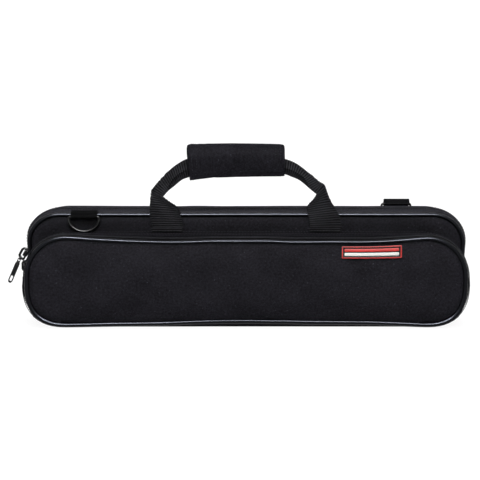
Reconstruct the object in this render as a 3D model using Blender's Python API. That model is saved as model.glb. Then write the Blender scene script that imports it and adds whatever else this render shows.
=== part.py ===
"""Soft flute case with an accessory pocket on its front, every piece as a closed solid.

Lengths are metres. X runs along the case, Y from front to back and Z up. The case stands on its
long hinged side: z = 0 is what it stands on, and the origin is under the middle of the rear half.
"""

import math

import bmesh
import bpy
import numpy as np
from mathutils import Matrix

# Shared
GAP = 0.0003
SKIN = 0.0012
CUT_OVERRUN = 0.004
CORNER_STEPS = 8
WALL_STEPS = 3
LAST_SHARP_DEG = 38

# Main compartment
CASE_HALF_LENGTH = 0.2082
CASE_HEIGHT = 0.1044
CASE_CORNER_RADIUS = 0.031
HALF_SHELL_DEPTH = 0.033
END_BULGE = 0.0043
MAIN_SEAM_INSET = 0.0019
PIPING_RADIUS = 0.0017
PIPING_SIDES = 8
GUSSET_DRAW = 0.0007
GUSSET_DRAW_LENGTH = 0.004
PANEL_RISE = 0.0015
PANEL_RISE_WIDTH = 0.010
FOAM_WALL = 0.011
FOAM_FLOOR = 0.008
FOAM_CHAMFER = 0.005
ZIP_HALF_WIDTH = 0.008
COIL_HALF_WIDTH = 0.003
COIL_HEIGHT = 0.0009
MAIN_SIDE_STEPS = 2
MAIN_TOP_STEPS = 4

# Flute insert in the rear half
CAVITY_DEPTH = 0.017
CAVITY_FILLET = 0.005
BODY_JOINT_SIZE = (0.352, 0.0325)
BODY_JOINT_CENTRE = (0.0, 0.07175)
HEAD_JOINT_SIZE = (0.222, 0.026)
HEAD_JOINT_CENTRE = (-0.072, 0.0335)
FOOT_JOINT_SIZE = (0.131, 0.032)
FOOT_JOINT_CENTRE = (0.1175, 0.033)
CAVITY_CORNER_RADIUS = 0.0125
SCOOP_RADIUS = 0.013
SCOOP_DEPTH = 0.010
SCOOP_LENGTH = 0.026
SCOOP_CENTRES = ((-0.112, 0.052), (0.020, 0.052))
SCOOP_SIDES = 20

# Padded pad in the lid
LID_PAD_THICKNESS = 0.009
LID_PAD_CROWN = 0.0035
LID_PAD_RIM = 0.013

# Accessory pocket on the lid
POCKET_END_SETBACK = 0.003
POCKET_BOTTOM = 0.0006
POCKET_TOP_SETBACK = 0.0179
POCKET_CORNER_RADIUS = 0.0392
POCKET_DEPTH = 0.034
POCKET_SEAM_INSET = 0.0012
POCKET_END_BULGE = 0.0035
POCKET_REAR_DRAW = 0.0015
POCKET_CROWN = 0.0028
POCKET_SAG = 0.0028
POCKET_WAVE = 0.0005
POCKET_WAVES = 5
POCKET_ZIP_SETBACK = 0.0085
POCKET_TAPE_WIDTH = 0.006
POCKET_SIDE_STEPS = 2
POCKET_TOP_STEPS = 14
PANEL_RING_INSETS = (0.0, 0.0038, 0.0108, 0.022, 0.034)
PANEL_RING_CROWN_SHARES = (0.0, 0.45, 0.75, 0.93, 1.0)

# Label patch on the pocket
PATCH_SIZE = (0.0555, 0.0135)
PATCH_END_MARGIN = 0.0894
PATCH_TOP_MARGIN = 0.0143
PATCH_THICKNESS = 0.0014
STRIPE_HEIGHT = 0.003
STRIPE_THICKNESS = 0.0005
STRIPE_MARGIN = 0.0025
STRIPE_OFFSETS = (0.0022, -0.0022)

# Carrying handle
WEBBING = 0.0015
HANDLE_SPAN = 0.150
HANDLE_HEIGHT = 0.080
HANDLE_PIVOT_DROP = 0.0144
HANDLE_BASE_WIDTH = 0.0292
HANDLE_TAIL_LENGTH = 0.0044
GRIP_THICKNESS = 0.014
GRIP_CHANNEL = 0.0047
HANDLE_STEPS = 2
# Each row: outer edge x and z, inner edge x and z, as shares of the span and the height.
STRAP_EDGE_SHARES = (
    (-0.592, 0.002, -0.398, 0.002),
    (-0.606, 0.150, -0.412, 0.140),
    (-0.607, 0.275, -0.431, 0.251),
    (-0.604, 0.368, -0.474, 0.330),
    (-0.598, 0.440, -0.520, 0.372),
    (-0.547, 0.552, -0.490, 0.436),
    (-0.481, 0.680, -0.440, 0.512),
    (-0.431, 0.754, -0.403, 0.568),
    (-0.370, 0.815, -0.355, 0.600),
    (-0.300, 0.826, -0.300, 0.618),
    (-0.067, 0.834, -0.067, 0.628),
    (0.170, 0.826, 0.170, 0.634),
    (0.247, 0.812, 0.240, 0.634),
    (0.319, 0.756, 0.290, 0.602),
    (0.397, 0.645, 0.339, 0.561),
    (0.459, 0.548, 0.393, 0.478),
    (0.495, 0.500, 0.443, 0.398),
    (0.512, 0.412, 0.424, 0.338),
    (0.533, 0.320, 0.391, 0.268),
    (0.563, 0.238, 0.388, 0.190),
    (0.592, 0.130, 0.399, 0.100),
    (0.603, 0.002, 0.408, 0.002),
)
# Thickness and forward curl of the edges in each row above, as shares of the webbing's thickness.
STRAP_THICKNESS_SHARES = (
    1.0, 1.0, 1.15, 1.7, 2.6, 2.6, 2.4, 2.3, 2.3, 2.3, 2.3,
    2.3, 2.3, 2.3, 2.4, 2.5, 2.6, 2.4, 1.6, 1.2, 1.0, 1.0,
)
STRAP_CURL_SHARES = (
    0.0, 0.5, 1.2, 1.2, 0.5, 0.0, 0.0, 0.0, 0.0, 0.0, 0.0,
    0.0, 0.0, 0.0, 0.0, 0.0, 0.4, 1.2, 1.4, 1.0, 0.4, 0.0,
)
STRAP_SECTION_SHARES = (
    (1.0, -0.4), (1.0, 0.4), (0.85, 1.0), (0.0, 1.0), (-0.85, 1.0),
    (-1.0, 0.4), (-1.0, -0.4), (-0.85, -1.0), (0.0, -1.0), (0.85, -1.0),
)
# Each row: x as a share of the span; sleeve bottom and top, channel bottom and top, of the height.
GRIP_SHARES = (
    (-0.372, 0.560, 0.975, 0.574, 0.842),
    (-0.345, 0.568, 0.994, 0.584, 0.848),
    (-0.233, 0.588, 1.000, 0.602, 0.852),
    (-0.067, 0.600, 1.000, 0.612, 0.852),
    (0.100, 0.606, 0.996, 0.618, 0.850),
    (0.213, 0.608, 0.990, 0.620, 0.846),
    (0.243, 0.612, 0.978, 0.622, 0.834),
)
GRIP_POINTS = 16
GRIP_SQUARENESS_SHARE = 0.62

# D-rings and the webbing tabs that hold them
RING_TAB_WIDTH = 0.0256
RING_TAB_WEBBING = 0.0011
RING_HALF_WIDTH = 0.0145
RING_DROP = 0.014
RING_WIRE_RADIUS = 0.0012
RING_CORNER = 0.0022
RING_BOW_STEPS = 14
RING_SIDES = 8
FRONT_RING_END_MARGIN = 0.0547
FRONT_RING_STANDOFF = 0.002
FRONT_RING_TOP_MARGIN = 0.0038
REAR_RING_END_MARGIN = 0.0562
REAR_RING_STANDOFF = 0.0027
REAR_RING_RISE = 0.0008
REAR_TAB_RISE = 0.0053
TAB_SETBACK = 0.0035
TAB_LOOP_STEPS = 8

# Zip sliders and their pulls
SLIDER_HALF_LENGTH = 0.00575
SLIDER_HALF_WIDTH = 0.0045
SLIDER_TAIL_SHARE = 0.62
SLIDER_PLATE = 0.0012
BRIDGE_WIDTH = 0.0015
BRIDGE_THICKNESS = 0.0011
BRIDGE_HEIGHT = 0.0053
BRIDGE_OUTLINE_SHARES = (
    (-0.97, -0.10), (-0.76, 0.80), (-0.50, 1.0), (0.50, 1.0), (0.76, 0.80), (0.97, -0.10),
)
MAIN_SLIDER_Z = 0.0475
POCKET_SLIDER_DEG = 151
POCKET_SLIDER_LIFT = 0.0006
PULL_REST_DEG = 24
LINK_INNER_RADIUS = 0.0017
LINK_WIRE_RADIUS = 0.00045
LINK_DROP = 0.0007
LINK_STEPS = 16
LINK_SIDES = 6
PULL_LENGTH = 0.0265
PULL_WIDTH = 0.0041
PULL_THICKNESS = 0.0012
PULL_NECK_SHARE = 0.72
PULL_HOLE_RADIUS = 0.0010
PULL_HOLE_SLACK = 0.0002
PULL_TOP_MARGIN = 0.0009
EYELET_HALF_WIDTH = 0.0011
EYELET_LENGTH = 0.0056
EYELET_MARGIN = 0.0017
HOLE_SIDES = 16

REAR_SEAM_Y = HALF_SHELL_DEPTH / 2
PARTING_Y = -HALF_SHELL_DEPTH / 2
LID_SEAM_Y = PARTING_Y - HALF_SHELL_DEPTH
POCKET_SEAM_Y = LID_SEAM_Y - POCKET_DEPTH
PANEL_RIM_INSET = MAIN_SEAM_INSET + PIPING_RADIUS + GAP
LID_FACE_Y = LID_SEAM_Y - SKIN / 2 - PANEL_RISE
REAR_FACE_Y = REAR_SEAM_Y + SKIN / 2 + PANEL_RISE
POCKET_REAR_Y = LID_FACE_Y - GAP
POCKET_FRONT_Y = POCKET_SEAM_Y + PIPING_RADIUS + GAP
POCKET_ZIP_Y = POCKET_SEAM_Y + POCKET_ZIP_SETBACK
POCKET_RIM_INSET = POCKET_SEAM_INSET + PIPING_RADIUS + GAP
POCKET_HALF_LENGTH = CASE_HALF_LENGTH - POCKET_END_SETBACK
POCKET_TOP = CASE_HEIGHT - POCKET_TOP_SETBACK
PATCH_CENTRE = (POCKET_HALF_LENGTH - PATCH_END_MARGIN, POCKET_TOP - PATCH_TOP_MARGIN)
HANDLE_PIVOT_Y = LID_FACE_Y - GAP - WEBBING
HANDLE_PIVOT_Z = CASE_HEIGHT - HANDLE_PIVOT_DROP
HANDLE_TAIL_BOTTOM = HANDLE_PIVOT_Z - HANDLE_TAIL_LENGTH
FRONT_RING_BAR = (
    FRONT_RING_END_MARGIN - CASE_HALF_LENGTH,
    LID_FACE_Y - FRONT_RING_STANDOFF,
    CASE_HEIGHT - FRONT_RING_TOP_MARGIN,
)
REAR_RING_BAR = (
    CASE_HALF_LENGTH - REAR_RING_END_MARGIN,
    REAR_FACE_Y + REAR_RING_STANDOFF,
    CASE_HEIGHT + REAR_RING_RISE,
)


def clear_scene():
    for old in list(bpy.data.objects):
        bpy.data.objects.remove(old, do_unlink=True)


def make_material(name, colour, roughness, metallic):
    made = bpy.data.materials.new(name)
    made.use_nodes = True
    shader = made.node_tree.nodes["Principled BSDF"]
    shader.inputs["Base Color"].default_value = (*colour, 1.0)
    shader.inputs["Roughness"].default_value = roughness
    shader.inputs["Metallic"].default_value = metallic
    return made


def make_object(name, points, faces, look):
    """A closed solid from its points and faces, with its own copy of a look as its material."""
    mesh = bpy.data.meshes.new(name)
    mesh.from_pydata([tuple(map(float, point)) for point in points], [], faces)
    work = bmesh.new()
    work.from_mesh(mesh)
    bmesh.ops.recalc_face_normals(work, faces=work.faces)
    work.to_mesh(mesh)
    work.free()
    mesh.shade_smooth()
    mesh.set_sharp_from_angle(angle=math.radians(LAST_SHARP_DEG))
    made = bpy.data.objects.new(name, mesh)
    bpy.context.scene.collection.objects.link(made)
    if look:
        mesh.materials.append(make_material(name, *look))
    return made


def combine(target, tool, operation):
    """Joins a helper solid to the target, or cuts it away, and keeps the helper out of the part."""
    tool.hide_render = True
    tool.display_type = "WIRE"
    step = target.modifiers.new(tool.name, "BOOLEAN")
    step.operation = operation
    step.solver = "EXACT"
    step.object = tool


def set_origin(made, place):
    """Puts the object's origin on its joint and leaves its solid where it is."""
    made.data.transform(Matrix.Translation([-float(length) for length in place]))
    made.location = place


class Outline:
    """A rounded rectangle seen from the front, as rings that all have the same points."""

    def __init__(self, half_length, bottom, top, radius, side_steps, top_steps, bulge, centre_x=0.0):
        self.half_length = half_length
        self.bottom = bottom
        self.top = top
        self.radius = radius
        self.side_steps = side_steps
        self.top_steps = top_steps
        self.bulge = bulge
        self.centre_x = centre_x
        self.zip_start = CORNER_STEPS // 2
        self.count = len(self.ring(0.0, 0.0))
        self.zip_end = self.count - (top_steps - 1) - 1 - CORNER_STEPS // 2

    def ring(self, offset, y):
        """Points clockwise seen from the front, from the start of the bottom left corner."""
        radius = self.radius + offset
        across = self.half_length + self.bulge(y) - self.radius
        low = self.bottom + self.radius
        high = self.top - self.radius
        places = ((-across, low), (-across, high), (across, high), (across, low))
        steps = (self.side_steps, self.top_steps, self.side_steps, self.top_steps)
        points = []
        for corner, (x, z) in enumerate(places):
            for step in range(CORNER_STEPS + 1):
                angle = math.radians(270 - 90 * corner - 90 * step / CORNER_STEPS)
                points.append((x + radius * math.cos(angle), z + radius * math.sin(angle)))
            next_x, next_z = places[(corner + 1) % 4]
            angle = math.radians(180 - 90 * corner)
            start = np.array(points[-1])
            end = np.array((next_x + radius * math.cos(angle), next_z + radius * math.sin(angle)))
            for step in range(1, steps[corner]):
                points.append(tuple(start + (end - start) * step / steps[corner]))
        return np.array([(x + self.centre_x, y, z) for x, z in points])


def stack(name, outline, profile, look):
    """A solid through rings in order, each an offset and a Y, closed by its first and last ring."""
    rings = [outline.ring(offset, y) for offset, y in profile]
    count = outline.count
    faces = [list(range(count)), list(range((len(rings) - 1) * count, len(rings) * count))]
    for row in range(len(rings) - 1):
        for place in range(count):
            follow = (place + 1) % count
            faces.append(
                [row * count + place, row * count + follow, (row + 1) * count + follow, (row + 1) * count + place]
            )
    return make_object(name, np.concatenate(rings), faces, look)


def sweep(name, stations, closed, look):
    """A solid through sections in order, each with the same points: a loop, or closed by end faces."""
    stations = np.asarray(stations)
    number, size = stations.shape[:2]
    faces = []
    for station in range(number if closed else number - 1):
        follow = (station + 1) % number
        for place in range(size):
            beside = (place + 1) % size
            faces.append(
                [station * size + place, station * size + beside, follow * size + beside, follow * size + place]
            )
    if not closed:
        faces.append(list(range(size)))
        faces.append(list(range((number - 1) * size, number * size)))
    return make_object(name, stations.reshape(-1, 3), faces, look)


def band(name, outline, profile, look, first=None, last=None, trim=0.0):
    """A section, as offsets and Ys, carried all round the outline or between two of its points."""
    grid = np.stack([outline.ring(offset, y) for offset, y in profile], axis=1)
    if first is None:
        return sweep(name, grid, True, look)
    grid = grid[[place % outline.count for place in range(first, last + 1)]].copy()
    for end, inner in ((0, 1), (-1, -2)):
        step = grid[inner] - grid[end]
        grid[end] += step * trim / np.linalg.norm(step, axis=1, keepdims=True)
    return sweep(name, grid, False, look)


def round_section(offset, y, radius, sides):
    turns = [2 * math.pi * (side + 0.5) / sides for side in range(sides)]
    return [(offset + radius * math.cos(turn), y + radius * math.sin(turn)) for turn in turns]


def tube_loop(name, route, axis, radius, sides, look):
    """A round wire along a flat closed route. The axis is square to the route's plane."""
    route = np.asarray(route, float)
    axis = np.asarray(axis, float)
    stations = []
    for place in range(len(route)):
        along = route[(place + 1) % len(route)] - route[place - 1]
        along /= np.linalg.norm(along)
        across = np.cross(axis, along)
        turns = [2 * math.pi * (side + 0.5) / sides for side in range(sides)]
        stations.append(
            [route[place] + radius * (across * math.cos(turn) + axis * math.sin(turn)) for turn in turns]
        )
    return sweep(name, stations, True, look)


def slab(name, outline, place, low, high, look):
    """A flat outline of (a, b) pairs, thickened from low to high; place puts (a, b, c) in the case."""
    stations = [[place(a, b, level) for a, b in outline] for level in (low, high)]
    return sweep(name, stations, False, look)


def strip_outline(route, thickness):
    """The outline of a strip with the given middle line, seen from its edge."""
    route = np.asarray(route, float)
    sides = [[], []]
    for place, point in enumerate(route):
        before = route[max(place - 1, 0)]
        after = route[min(place + 1, len(route) - 1)]
        along = (after - before) / np.linalg.norm(after - before)
        across = np.array((-along[1], along[0])) * thickness / 2
        sides[0].append(tuple(point + across))
        sides[1].append(tuple(point - across))
    return sides[0] + sides[1][::-1]


def smoothed(rows, steps):
    """Rows of numbers with extra rows between them, on a smooth curve through all of them."""
    rows = np.asarray(rows, float)
    padded = np.concatenate([2 * rows[:1] - rows[1:2], rows, 2 * rows[-1:] - rows[-2:-1]])
    found = []
    for place in range(1, len(padded) - 2):
        before, start, end, after = padded[place - 1 : place + 3]
        for step in range(steps):
            t = step / steps
            found.append(
                start
                + (end - before) * t / 2
                + (2 * before - 5 * start + 4 * end - after) * t**2 / 2
                + (3 * start - before - 3 * end + after) * t**3 / 2
            )
    found.append(rows[-1])
    return np.array(found)


def main_bulge(y):
    """How far the ends of the main compartment swell out, most at the zip."""
    share = max(0.0, 1 - abs(y - PARTING_Y) / HALF_SHELL_DEPTH)
    return END_BULGE * math.sin(share * math.pi / 2)


def pocket_bulge(y):
    """How far the ends of the pocket swell out, most at the middle of its depth."""
    share = (POCKET_REAR_Y - y) / (POCKET_REAR_Y - POCKET_SEAM_Y)
    return POCKET_END_BULGE * math.sin(math.pi * min(max(share, 0.0), 1.0))


def no_bulge(_y):
    return 0.0


def sag_pocket(made):
    """Lets the top of the pocket droop between its ends, most at its front."""
    middle = (POCKET_TOP + POCKET_BOTTOM) / 2
    for vertex in made.data.vertices:
        x, y, z = vertex.co
        forward = min(max((POCKET_REAR_Y - y) / (POCKET_REAR_Y - POCKET_SEAM_Y), 0.0), 1.0)
        raised = min(max((z - middle) / (POCKET_TOP - middle), 0.0), 1.0)
        between = max(0.0, 1 - (x / POCKET_HALF_LENGTH) ** 2) ** 2
        wave = POCKET_WAVE * math.sin(POCKET_WAVES * math.pi * x / POCKET_HALF_LENGTH)
        vertex.co.z = z - forward * raised**2 * between * (POCKET_SAG + wave)
    return made


MAIN = Outline(
    CASE_HALF_LENGTH, 0.0, CASE_HEIGHT, CASE_CORNER_RADIUS, MAIN_SIDE_STEPS, MAIN_TOP_STEPS, main_bulge
)
POCKET = Outline(
    POCKET_HALF_LENGTH, POCKET_BOTTOM, POCKET_TOP, POCKET_CORNER_RADIUS, POCKET_SIDE_STEPS,
    POCKET_TOP_STEPS, pocket_bulge,
)

NYLON = ((0.012, 0.012, 0.014), 0.75, 0.0)
VINYL = ((0.010, 0.010, 0.011), 0.32, 0.0)
WEB = ((0.008, 0.008, 0.009), 0.80, 0.0)
TAPE = ((0.009, 0.009, 0.010), 0.80, 0.0)
FOAM = ((0.75, 0.75, 0.73), 0.90, 0.0)
PLUSH = ((0.020, 0.020, 0.024), 0.95, 0.0)
BLACK_METAL = ((0.03, 0.03, 0.032), 0.35, 1.0)
RUBBER = ((0.012, 0.012, 0.012), 0.55, 0.0)
RED = ((0.62, 0.05, 0.04), 0.5, 0.0)
WHITE = ((0.80, 0.80, 0.78), 0.5, 0.0)


def wall_run(offset, start_y, end_y):
    """Section points along a wall, close enough together to follow the swell of the ends."""
    share = 1 / WALL_STEPS
    return [(offset, start_y + (end_y - start_y) * step * share) for step in range(WALL_STEPS + 1)]


def shell_half(side, side_name, seam_y, outward):
    """The foam, gusset, panel, piping, zip tape and hinge strip of one half of the case."""
    edge_y = PARTING_Y + outward * GAP / 2
    tape_y = PARTING_Y + outward * ZIP_HALF_WIDTH
    coil_y = PARTING_Y + outward * COIL_HALF_WIDTH
    gusset_start = tape_y + outward * GAP
    gusset_end = seam_y - outward * (PIPING_RADIUS + GAP)
    draw_start = gusset_end - outward * GUSSET_DRAW_LENGTH
    foam_back = seam_y - outward * (SKIN / 2 + GAP * 2)
    foam_out = -SKIN - GAP
    foam_side_end = foam_back - outward * FOAM_CHAMFER
    foam_in = foam_out - FOAM_WALL
    floor_y = foam_back - outward * FOAM_FLOOR
    stack(
        side + "_foam_shell",
        MAIN,
        wall_run(foam_in, floor_y, edge_y)
        + wall_run(foam_out, edge_y, foam_side_end)
        + [(foam_out - FOAM_CHAMFER, foam_back)],
        FOAM,
    )
    band(
        side + "_gusset",
        MAIN,
        wall_run(0.0, gusset_start, draw_start)
        + [(-GUSSET_DRAW, gusset_end), (-GUSSET_DRAW - SKIN, gusset_end)]
        + wall_run(-SKIN, draw_start, gusset_start),
        NYLON,
    )
    face_y = seam_y + outward * SKIN / 2
    back_y = seam_y - outward * SKIN / 2
    middle_inset = -PANEL_RIM_INSET - PANEL_RISE_WIDTH * 0.4
    flat_inset = -PANEL_RIM_INSET - PANEL_RISE_WIDTH
    middle_rise = outward * PANEL_RISE * 0.7
    full_rise = outward * PANEL_RISE
    stack(
        side_name,
        MAIN,
        [
            (flat_inset, back_y + full_rise),
            (middle_inset, back_y + middle_rise),
            (-PANEL_RIM_INSET, back_y),
            (-PANEL_RIM_INSET, face_y),
            (middle_inset, face_y + middle_rise),
            (flat_inset, face_y + full_rise),
        ],
        NYLON,
    )
    band(
        side + "_piping",
        MAIN,
        round_section(-MAIN_SEAM_INSET, seam_y, PIPING_RADIUS, PIPING_SIDES),
        VINYL,
    )
    band(
        side + "_main_zip_tape",
        MAIN,
        [
            (COIL_HEIGHT, edge_y),
            (COIL_HEIGHT, coil_y),
            (0.0, coil_y + outward * COIL_HEIGHT),
            (0.0, tape_y),
            (-SKIN, tape_y),
            (-SKIN, edge_y),
        ],
        TAPE,
        MAIN.zip_start,
        MAIN.zip_end,
    )
    band(
        side + "_hinge_strip",
        MAIN,
        [(0.0, edge_y), (0.0, tape_y), (-SKIN, tape_y), (-SKIN, edge_y)],
        NYLON,
        MAIN.zip_end,
        MAIN.zip_start + MAIN.count,
        GAP,
    )


def cavity_cutter(name, size, centre, mouth_y):
    """A rounded trough, open at the front, that one joint of the flute lies in."""
    shape = Outline(
        size[0] / 2, centre[1] - size[1] / 2, centre[1] + size[1] / 2, CAVITY_CORNER_RADIUS, 1, 1,
        no_bulge, centre[0],
    )
    floor_y = mouth_y + CAVITY_DEPTH
    return stack(
        name,
        shape,
        [
            (0.0, mouth_y - CUT_OVERRUN),
            (0.0, floor_y - CAVITY_FILLET),
            (-CAVITY_FILLET * (1 - math.sqrt(0.5)), floor_y - CAVITY_FILLET * (1 - math.sqrt(0.5))),
            (-CAVITY_FILLET, floor_y),
        ],
        None,
    )


def scoop_cutter(name, centre, mouth_y):
    """A half-round finger notch across the rib between two cavities."""
    middle_y = mouth_y - (SCOOP_RADIUS - SCOOP_DEPTH)
    turns = [2 * math.pi * side / SCOOP_SIDES for side in range(SCOOP_SIDES)]
    outline = [(SCOOP_RADIUS * math.cos(turn), SCOOP_RADIUS * math.sin(turn)) for turn in turns]
    return slab(
        name,
        outline,
        lambda a, b, c: (centre[0] + a, middle_y + b, centre[1] + c),
        -SCOOP_LENGTH / 2,
        SCOOP_LENGTH / 2,
        None,
    )


def flute_insert():
    """The plush-covered block in the rear half, with a cavity for each joint of the flute."""
    mouth_y = PARTING_Y + GAP * 3
    back_y = REAR_SEAM_Y - SKIN / 2 - GAP * 3 - FOAM_FLOOR
    inset = -SKIN - GAP - FOAM_WALL - GAP
    made = stack("flute_insert", MAIN, wall_run(inset, mouth_y, back_y), PLUSH)
    cavities = (
        ("body_joint_cutter", BODY_JOINT_SIZE, BODY_JOINT_CENTRE),
        ("head_joint_cutter", HEAD_JOINT_SIZE, HEAD_JOINT_CENTRE),
        ("foot_joint_cutter", FOOT_JOINT_SIZE, FOOT_JOINT_CENTRE),
    )
    for name, size, centre in cavities:
        combine(made, cavity_cutter(name, size, centre, mouth_y), "DIFFERENCE")
    for number, centre in enumerate(SCOOP_CENTRES):
        combine(made, scoop_cutter(f"scoop_cutter_{number + 1}", centre, mouth_y), "DIFFERENCE")


def lid_pad():
    """The soft pad in the lid that presses on the closed flute."""
    back_y = LID_SEAM_Y + SKIN / 2 + GAP * 3 + FOAM_FLOOR
    face_y = back_y + LID_PAD_THICKNESS
    inset = -SKIN - GAP - FOAM_WALL - GAP
    stack(
        "lid_pad",
        MAIN,
        [
            (inset, back_y),
            (inset, face_y - LID_PAD_CROWN),
            (inset - LID_PAD_RIM * 0.25, face_y - LID_PAD_CROWN * 0.35),
            (inset - LID_PAD_RIM, face_y),
        ],
        PLUSH,
    )


def pocket_skin_draw(y):
    """How far the pocket's fabric is drawn in where it is sewn to the lid."""
    share = (y - POCKET_ZIP_Y) / (POCKET_REAR_Y - POCKET_ZIP_Y)
    return -POCKET_REAR_DRAW * min(max(share, 0.0), 1.0)


def pocket_band(name, start_y, end_y, steps, look, first=None, last=None, trim=0.0, coil=0.0):
    """Fabric of the pocket's sides from one Y to another, with the zip's coil along its first edge."""
    ys = [start_y + (end_y - start_y) * step / steps for step in range(steps + 1)]
    outside = [(pocket_skin_draw(y), y) for y in ys]
    inside = [(pocket_skin_draw(y) - SKIN, y) for y in reversed(ys)]
    if coil:
        way = 1 if end_y > start_y else -1
        coil_end = start_y + way * COIL_HALF_WIDTH
        foot_y = coil_end + way * COIL_HEIGHT
        bump = [(COIL_HEIGHT, start_y), (COIL_HEIGHT, coil_end), (pocket_skin_draw(foot_y), foot_y)]
        outside = bump + outside[1:]
    return sag_pocket(band(name, POCKET, outside + inside, look, first, last, trim))


def pocket_sides():
    """The gusset and base strip on the lid, and the zip tapes on both sides of the pocket's zip."""
    tape_end = POCKET_ZIP_Y + POCKET_TAPE_WIDTH
    pocket_band("pocket_gusset", tape_end + GAP, POCKET_REAR_Y, 4, NYLON)
    pocket_band(
        "pocket_base_strip", POCKET_FRONT_Y, tape_end, 3, NYLON, POCKET.zip_end,
        POCKET.zip_start + POCKET.count, GAP,
    )
    pocket_band(
        "pocket_rear_zip_tape", POCKET_ZIP_Y + GAP / 2, tape_end, 1, TAPE, POCKET.zip_start,
        POCKET.zip_end, 0.0, COIL_HEIGHT,
    )
    pocket_band(
        "pocket_front_zip_tape", POCKET_ZIP_Y - GAP / 2, POCKET_FRONT_Y, 1, TAPE, POCKET.zip_start,
        POCKET.zip_end, 0.0, COIL_HEIGHT,
    )


def pocket_face_y(inset):
    """Y of the pocket panel's outer face at a distance inside its rim."""
    rise = np.interp(inset, PANEL_RING_INSETS, PANEL_RING_CROWN_SHARES) * POCKET_CROWN
    return POCKET_SEAM_Y - SKIN / 2 - float(rise)


def pocket_front():
    """The pocket's padded front panel and the piping round it."""
    outer = [(-POCKET_RIM_INSET - inset, pocket_face_y(inset)) for inset in PANEL_RING_INSETS]
    inner = [(offset, y + SKIN) for offset, y in reversed(outer)]
    sag_pocket(stack("pocket_front_panel", POCKET, inner + outer, NYLON))
    section = round_section(-POCKET_SEAM_INSET, POCKET_SEAM_Y, PIPING_RADIUS, PIPING_SIDES)
    sag_pocket(band("pocket_piping", POCKET, section, VINYL))


def sheet_on_pocket(name, centre, size, lift, thickness, columns, rows, look):
    """A thin sheet that lies on the pocket's front panel, its back the lift above the panel."""
    levels = []
    for depth in (lift, lift + thickness):
        level = []
        for row in range(rows + 1):
            z = centre[1] + size[1] * (row / rows - 0.5)
            y = pocket_face_y(POCKET_TOP - POCKET_RIM_INSET - z) - depth
            for column in range(columns + 1):
                level.append((centre[0] + size[0] * (column / columns - 0.5), y, z))
        levels.append(level)
    wide = columns + 1
    size_one = len(levels[0])
    faces = []
    for base in (0, size_one):
        for row in range(rows):
            for column in range(columns):
                start = base + row * wide + column
                faces.append([start, start + 1, start + wide + 1, start + wide])
    rim = list(range(wide))
    rim += [row * wide + columns for row in range(1, rows + 1)]
    rim += [rows * wide + column for column in range(columns - 1, -1, -1)]
    rim += [row * wide for row in range(rows - 1, 0, -1)]
    for place, start in enumerate(rim):
        end = rim[(place + 1) % len(rim)]
        faces.append([start, end, size_one + end, size_one + start])
    return sag_pocket(make_object(name, levels[0] + levels[1], faces, look))


def label_patch():
    """A plain rubber patch with two stripes, standing where the case has its label."""
    sheet_on_pocket("label_patch", PATCH_CENTRE, PATCH_SIZE, GAP, PATCH_THICKNESS, 4, 4, RUBBER)
    stripe_size = (PATCH_SIZE[0] - 2 * STRIPE_MARGIN, STRIPE_HEIGHT)
    lift = GAP + PATCH_THICKNESS
    for name, offset, look in zip(("label_stripe_red", "label_stripe_white"), STRIPE_OFFSETS, (RED, WHITE)):
        centre = (PATCH_CENTRE[0], PATCH_CENTRE[1] + offset)
        sheet_on_pocket(name, centre, stripe_size, lift + GAP, STRIPE_THICKNESS, 4, 1, look)


def handle_tails():
    """The sewn ends of the handle's webbing on the lid."""
    for name, middle in (("handle_tail_left", -HANDLE_SPAN / 2), ("handle_tail_right", HANDLE_SPAN / 2)):
        half = HANDLE_BASE_WIDTH / 2
        top = HANDLE_PIVOT_Z - GAP / 2
        outline = [
            (middle - half, HANDLE_TAIL_BOTTOM),
            (middle + half, HANDLE_TAIL_BOTTOM),
            (middle + half, top),
            (middle - half, top),
        ]
        slab(
            name, outline, lambda a, b, c: (a, c, b), HANDLE_PIVOT_Y, HANDLE_PIVOT_Y + WEBBING, WEB
        )


def handle_strap():
    """The handle's webbing: flat where it is sewn, folded lengthwise from there through the grip."""
    rows = [
        (*edges, thickness, curl)
        for edges, thickness, curl in zip(STRAP_EDGE_SHARES, STRAP_THICKNESS_SHARES, STRAP_CURL_SHARES)
    ]
    stations = []
    for row in smoothed(rows, HANDLE_STEPS):
        outer = np.array((row[0] * HANDLE_SPAN, HANDLE_PIVOT_Z + row[1] * HANDLE_HEIGHT))
        inner = np.array((row[2] * HANDLE_SPAN, HANDLE_PIVOT_Z + row[3] * HANDLE_HEIGHT))
        middle = (outer + inner) / 2
        half = (outer - inner) / 2
        half_thickness = row[4] * WEBBING / 2
        middle_y = HANDLE_PIVOT_Y + WEBBING / 2 - (half_thickness - WEBBING / 2) / 2
        station = []
        for across, through in STRAP_SECTION_SHARES:
            x, z = middle + half * across
            curl = row[5] * WEBBING * across**2
            station.append((x, middle_y - through * half_thickness - curl, z))
        stations.append(station)
    made = sweep("handle_strap", stations, False, WEB)
    set_origin(made, (0.0, HANDLE_PIVOT_Y, HANDLE_PIVOT_Z))


def oval(x, middle_y, bottom, top, thickness):
    """A squared oval section of the grip, square to the length of the case."""
    station = []
    for point in range(GRIP_POINTS):
        turn = 2 * math.pi * (point + 0.5) / GRIP_POINTS
        wide = math.copysign(abs(math.cos(turn)) ** GRIP_SQUARENESS_SHARE, math.cos(turn))
        tall = math.copysign(abs(math.sin(turn)) ** GRIP_SQUARENESS_SHARE, math.sin(turn))
        station.append((x, middle_y + wide * thickness / 2, (bottom + top) / 2 + tall * (top - bottom) / 2))
    return station


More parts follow.
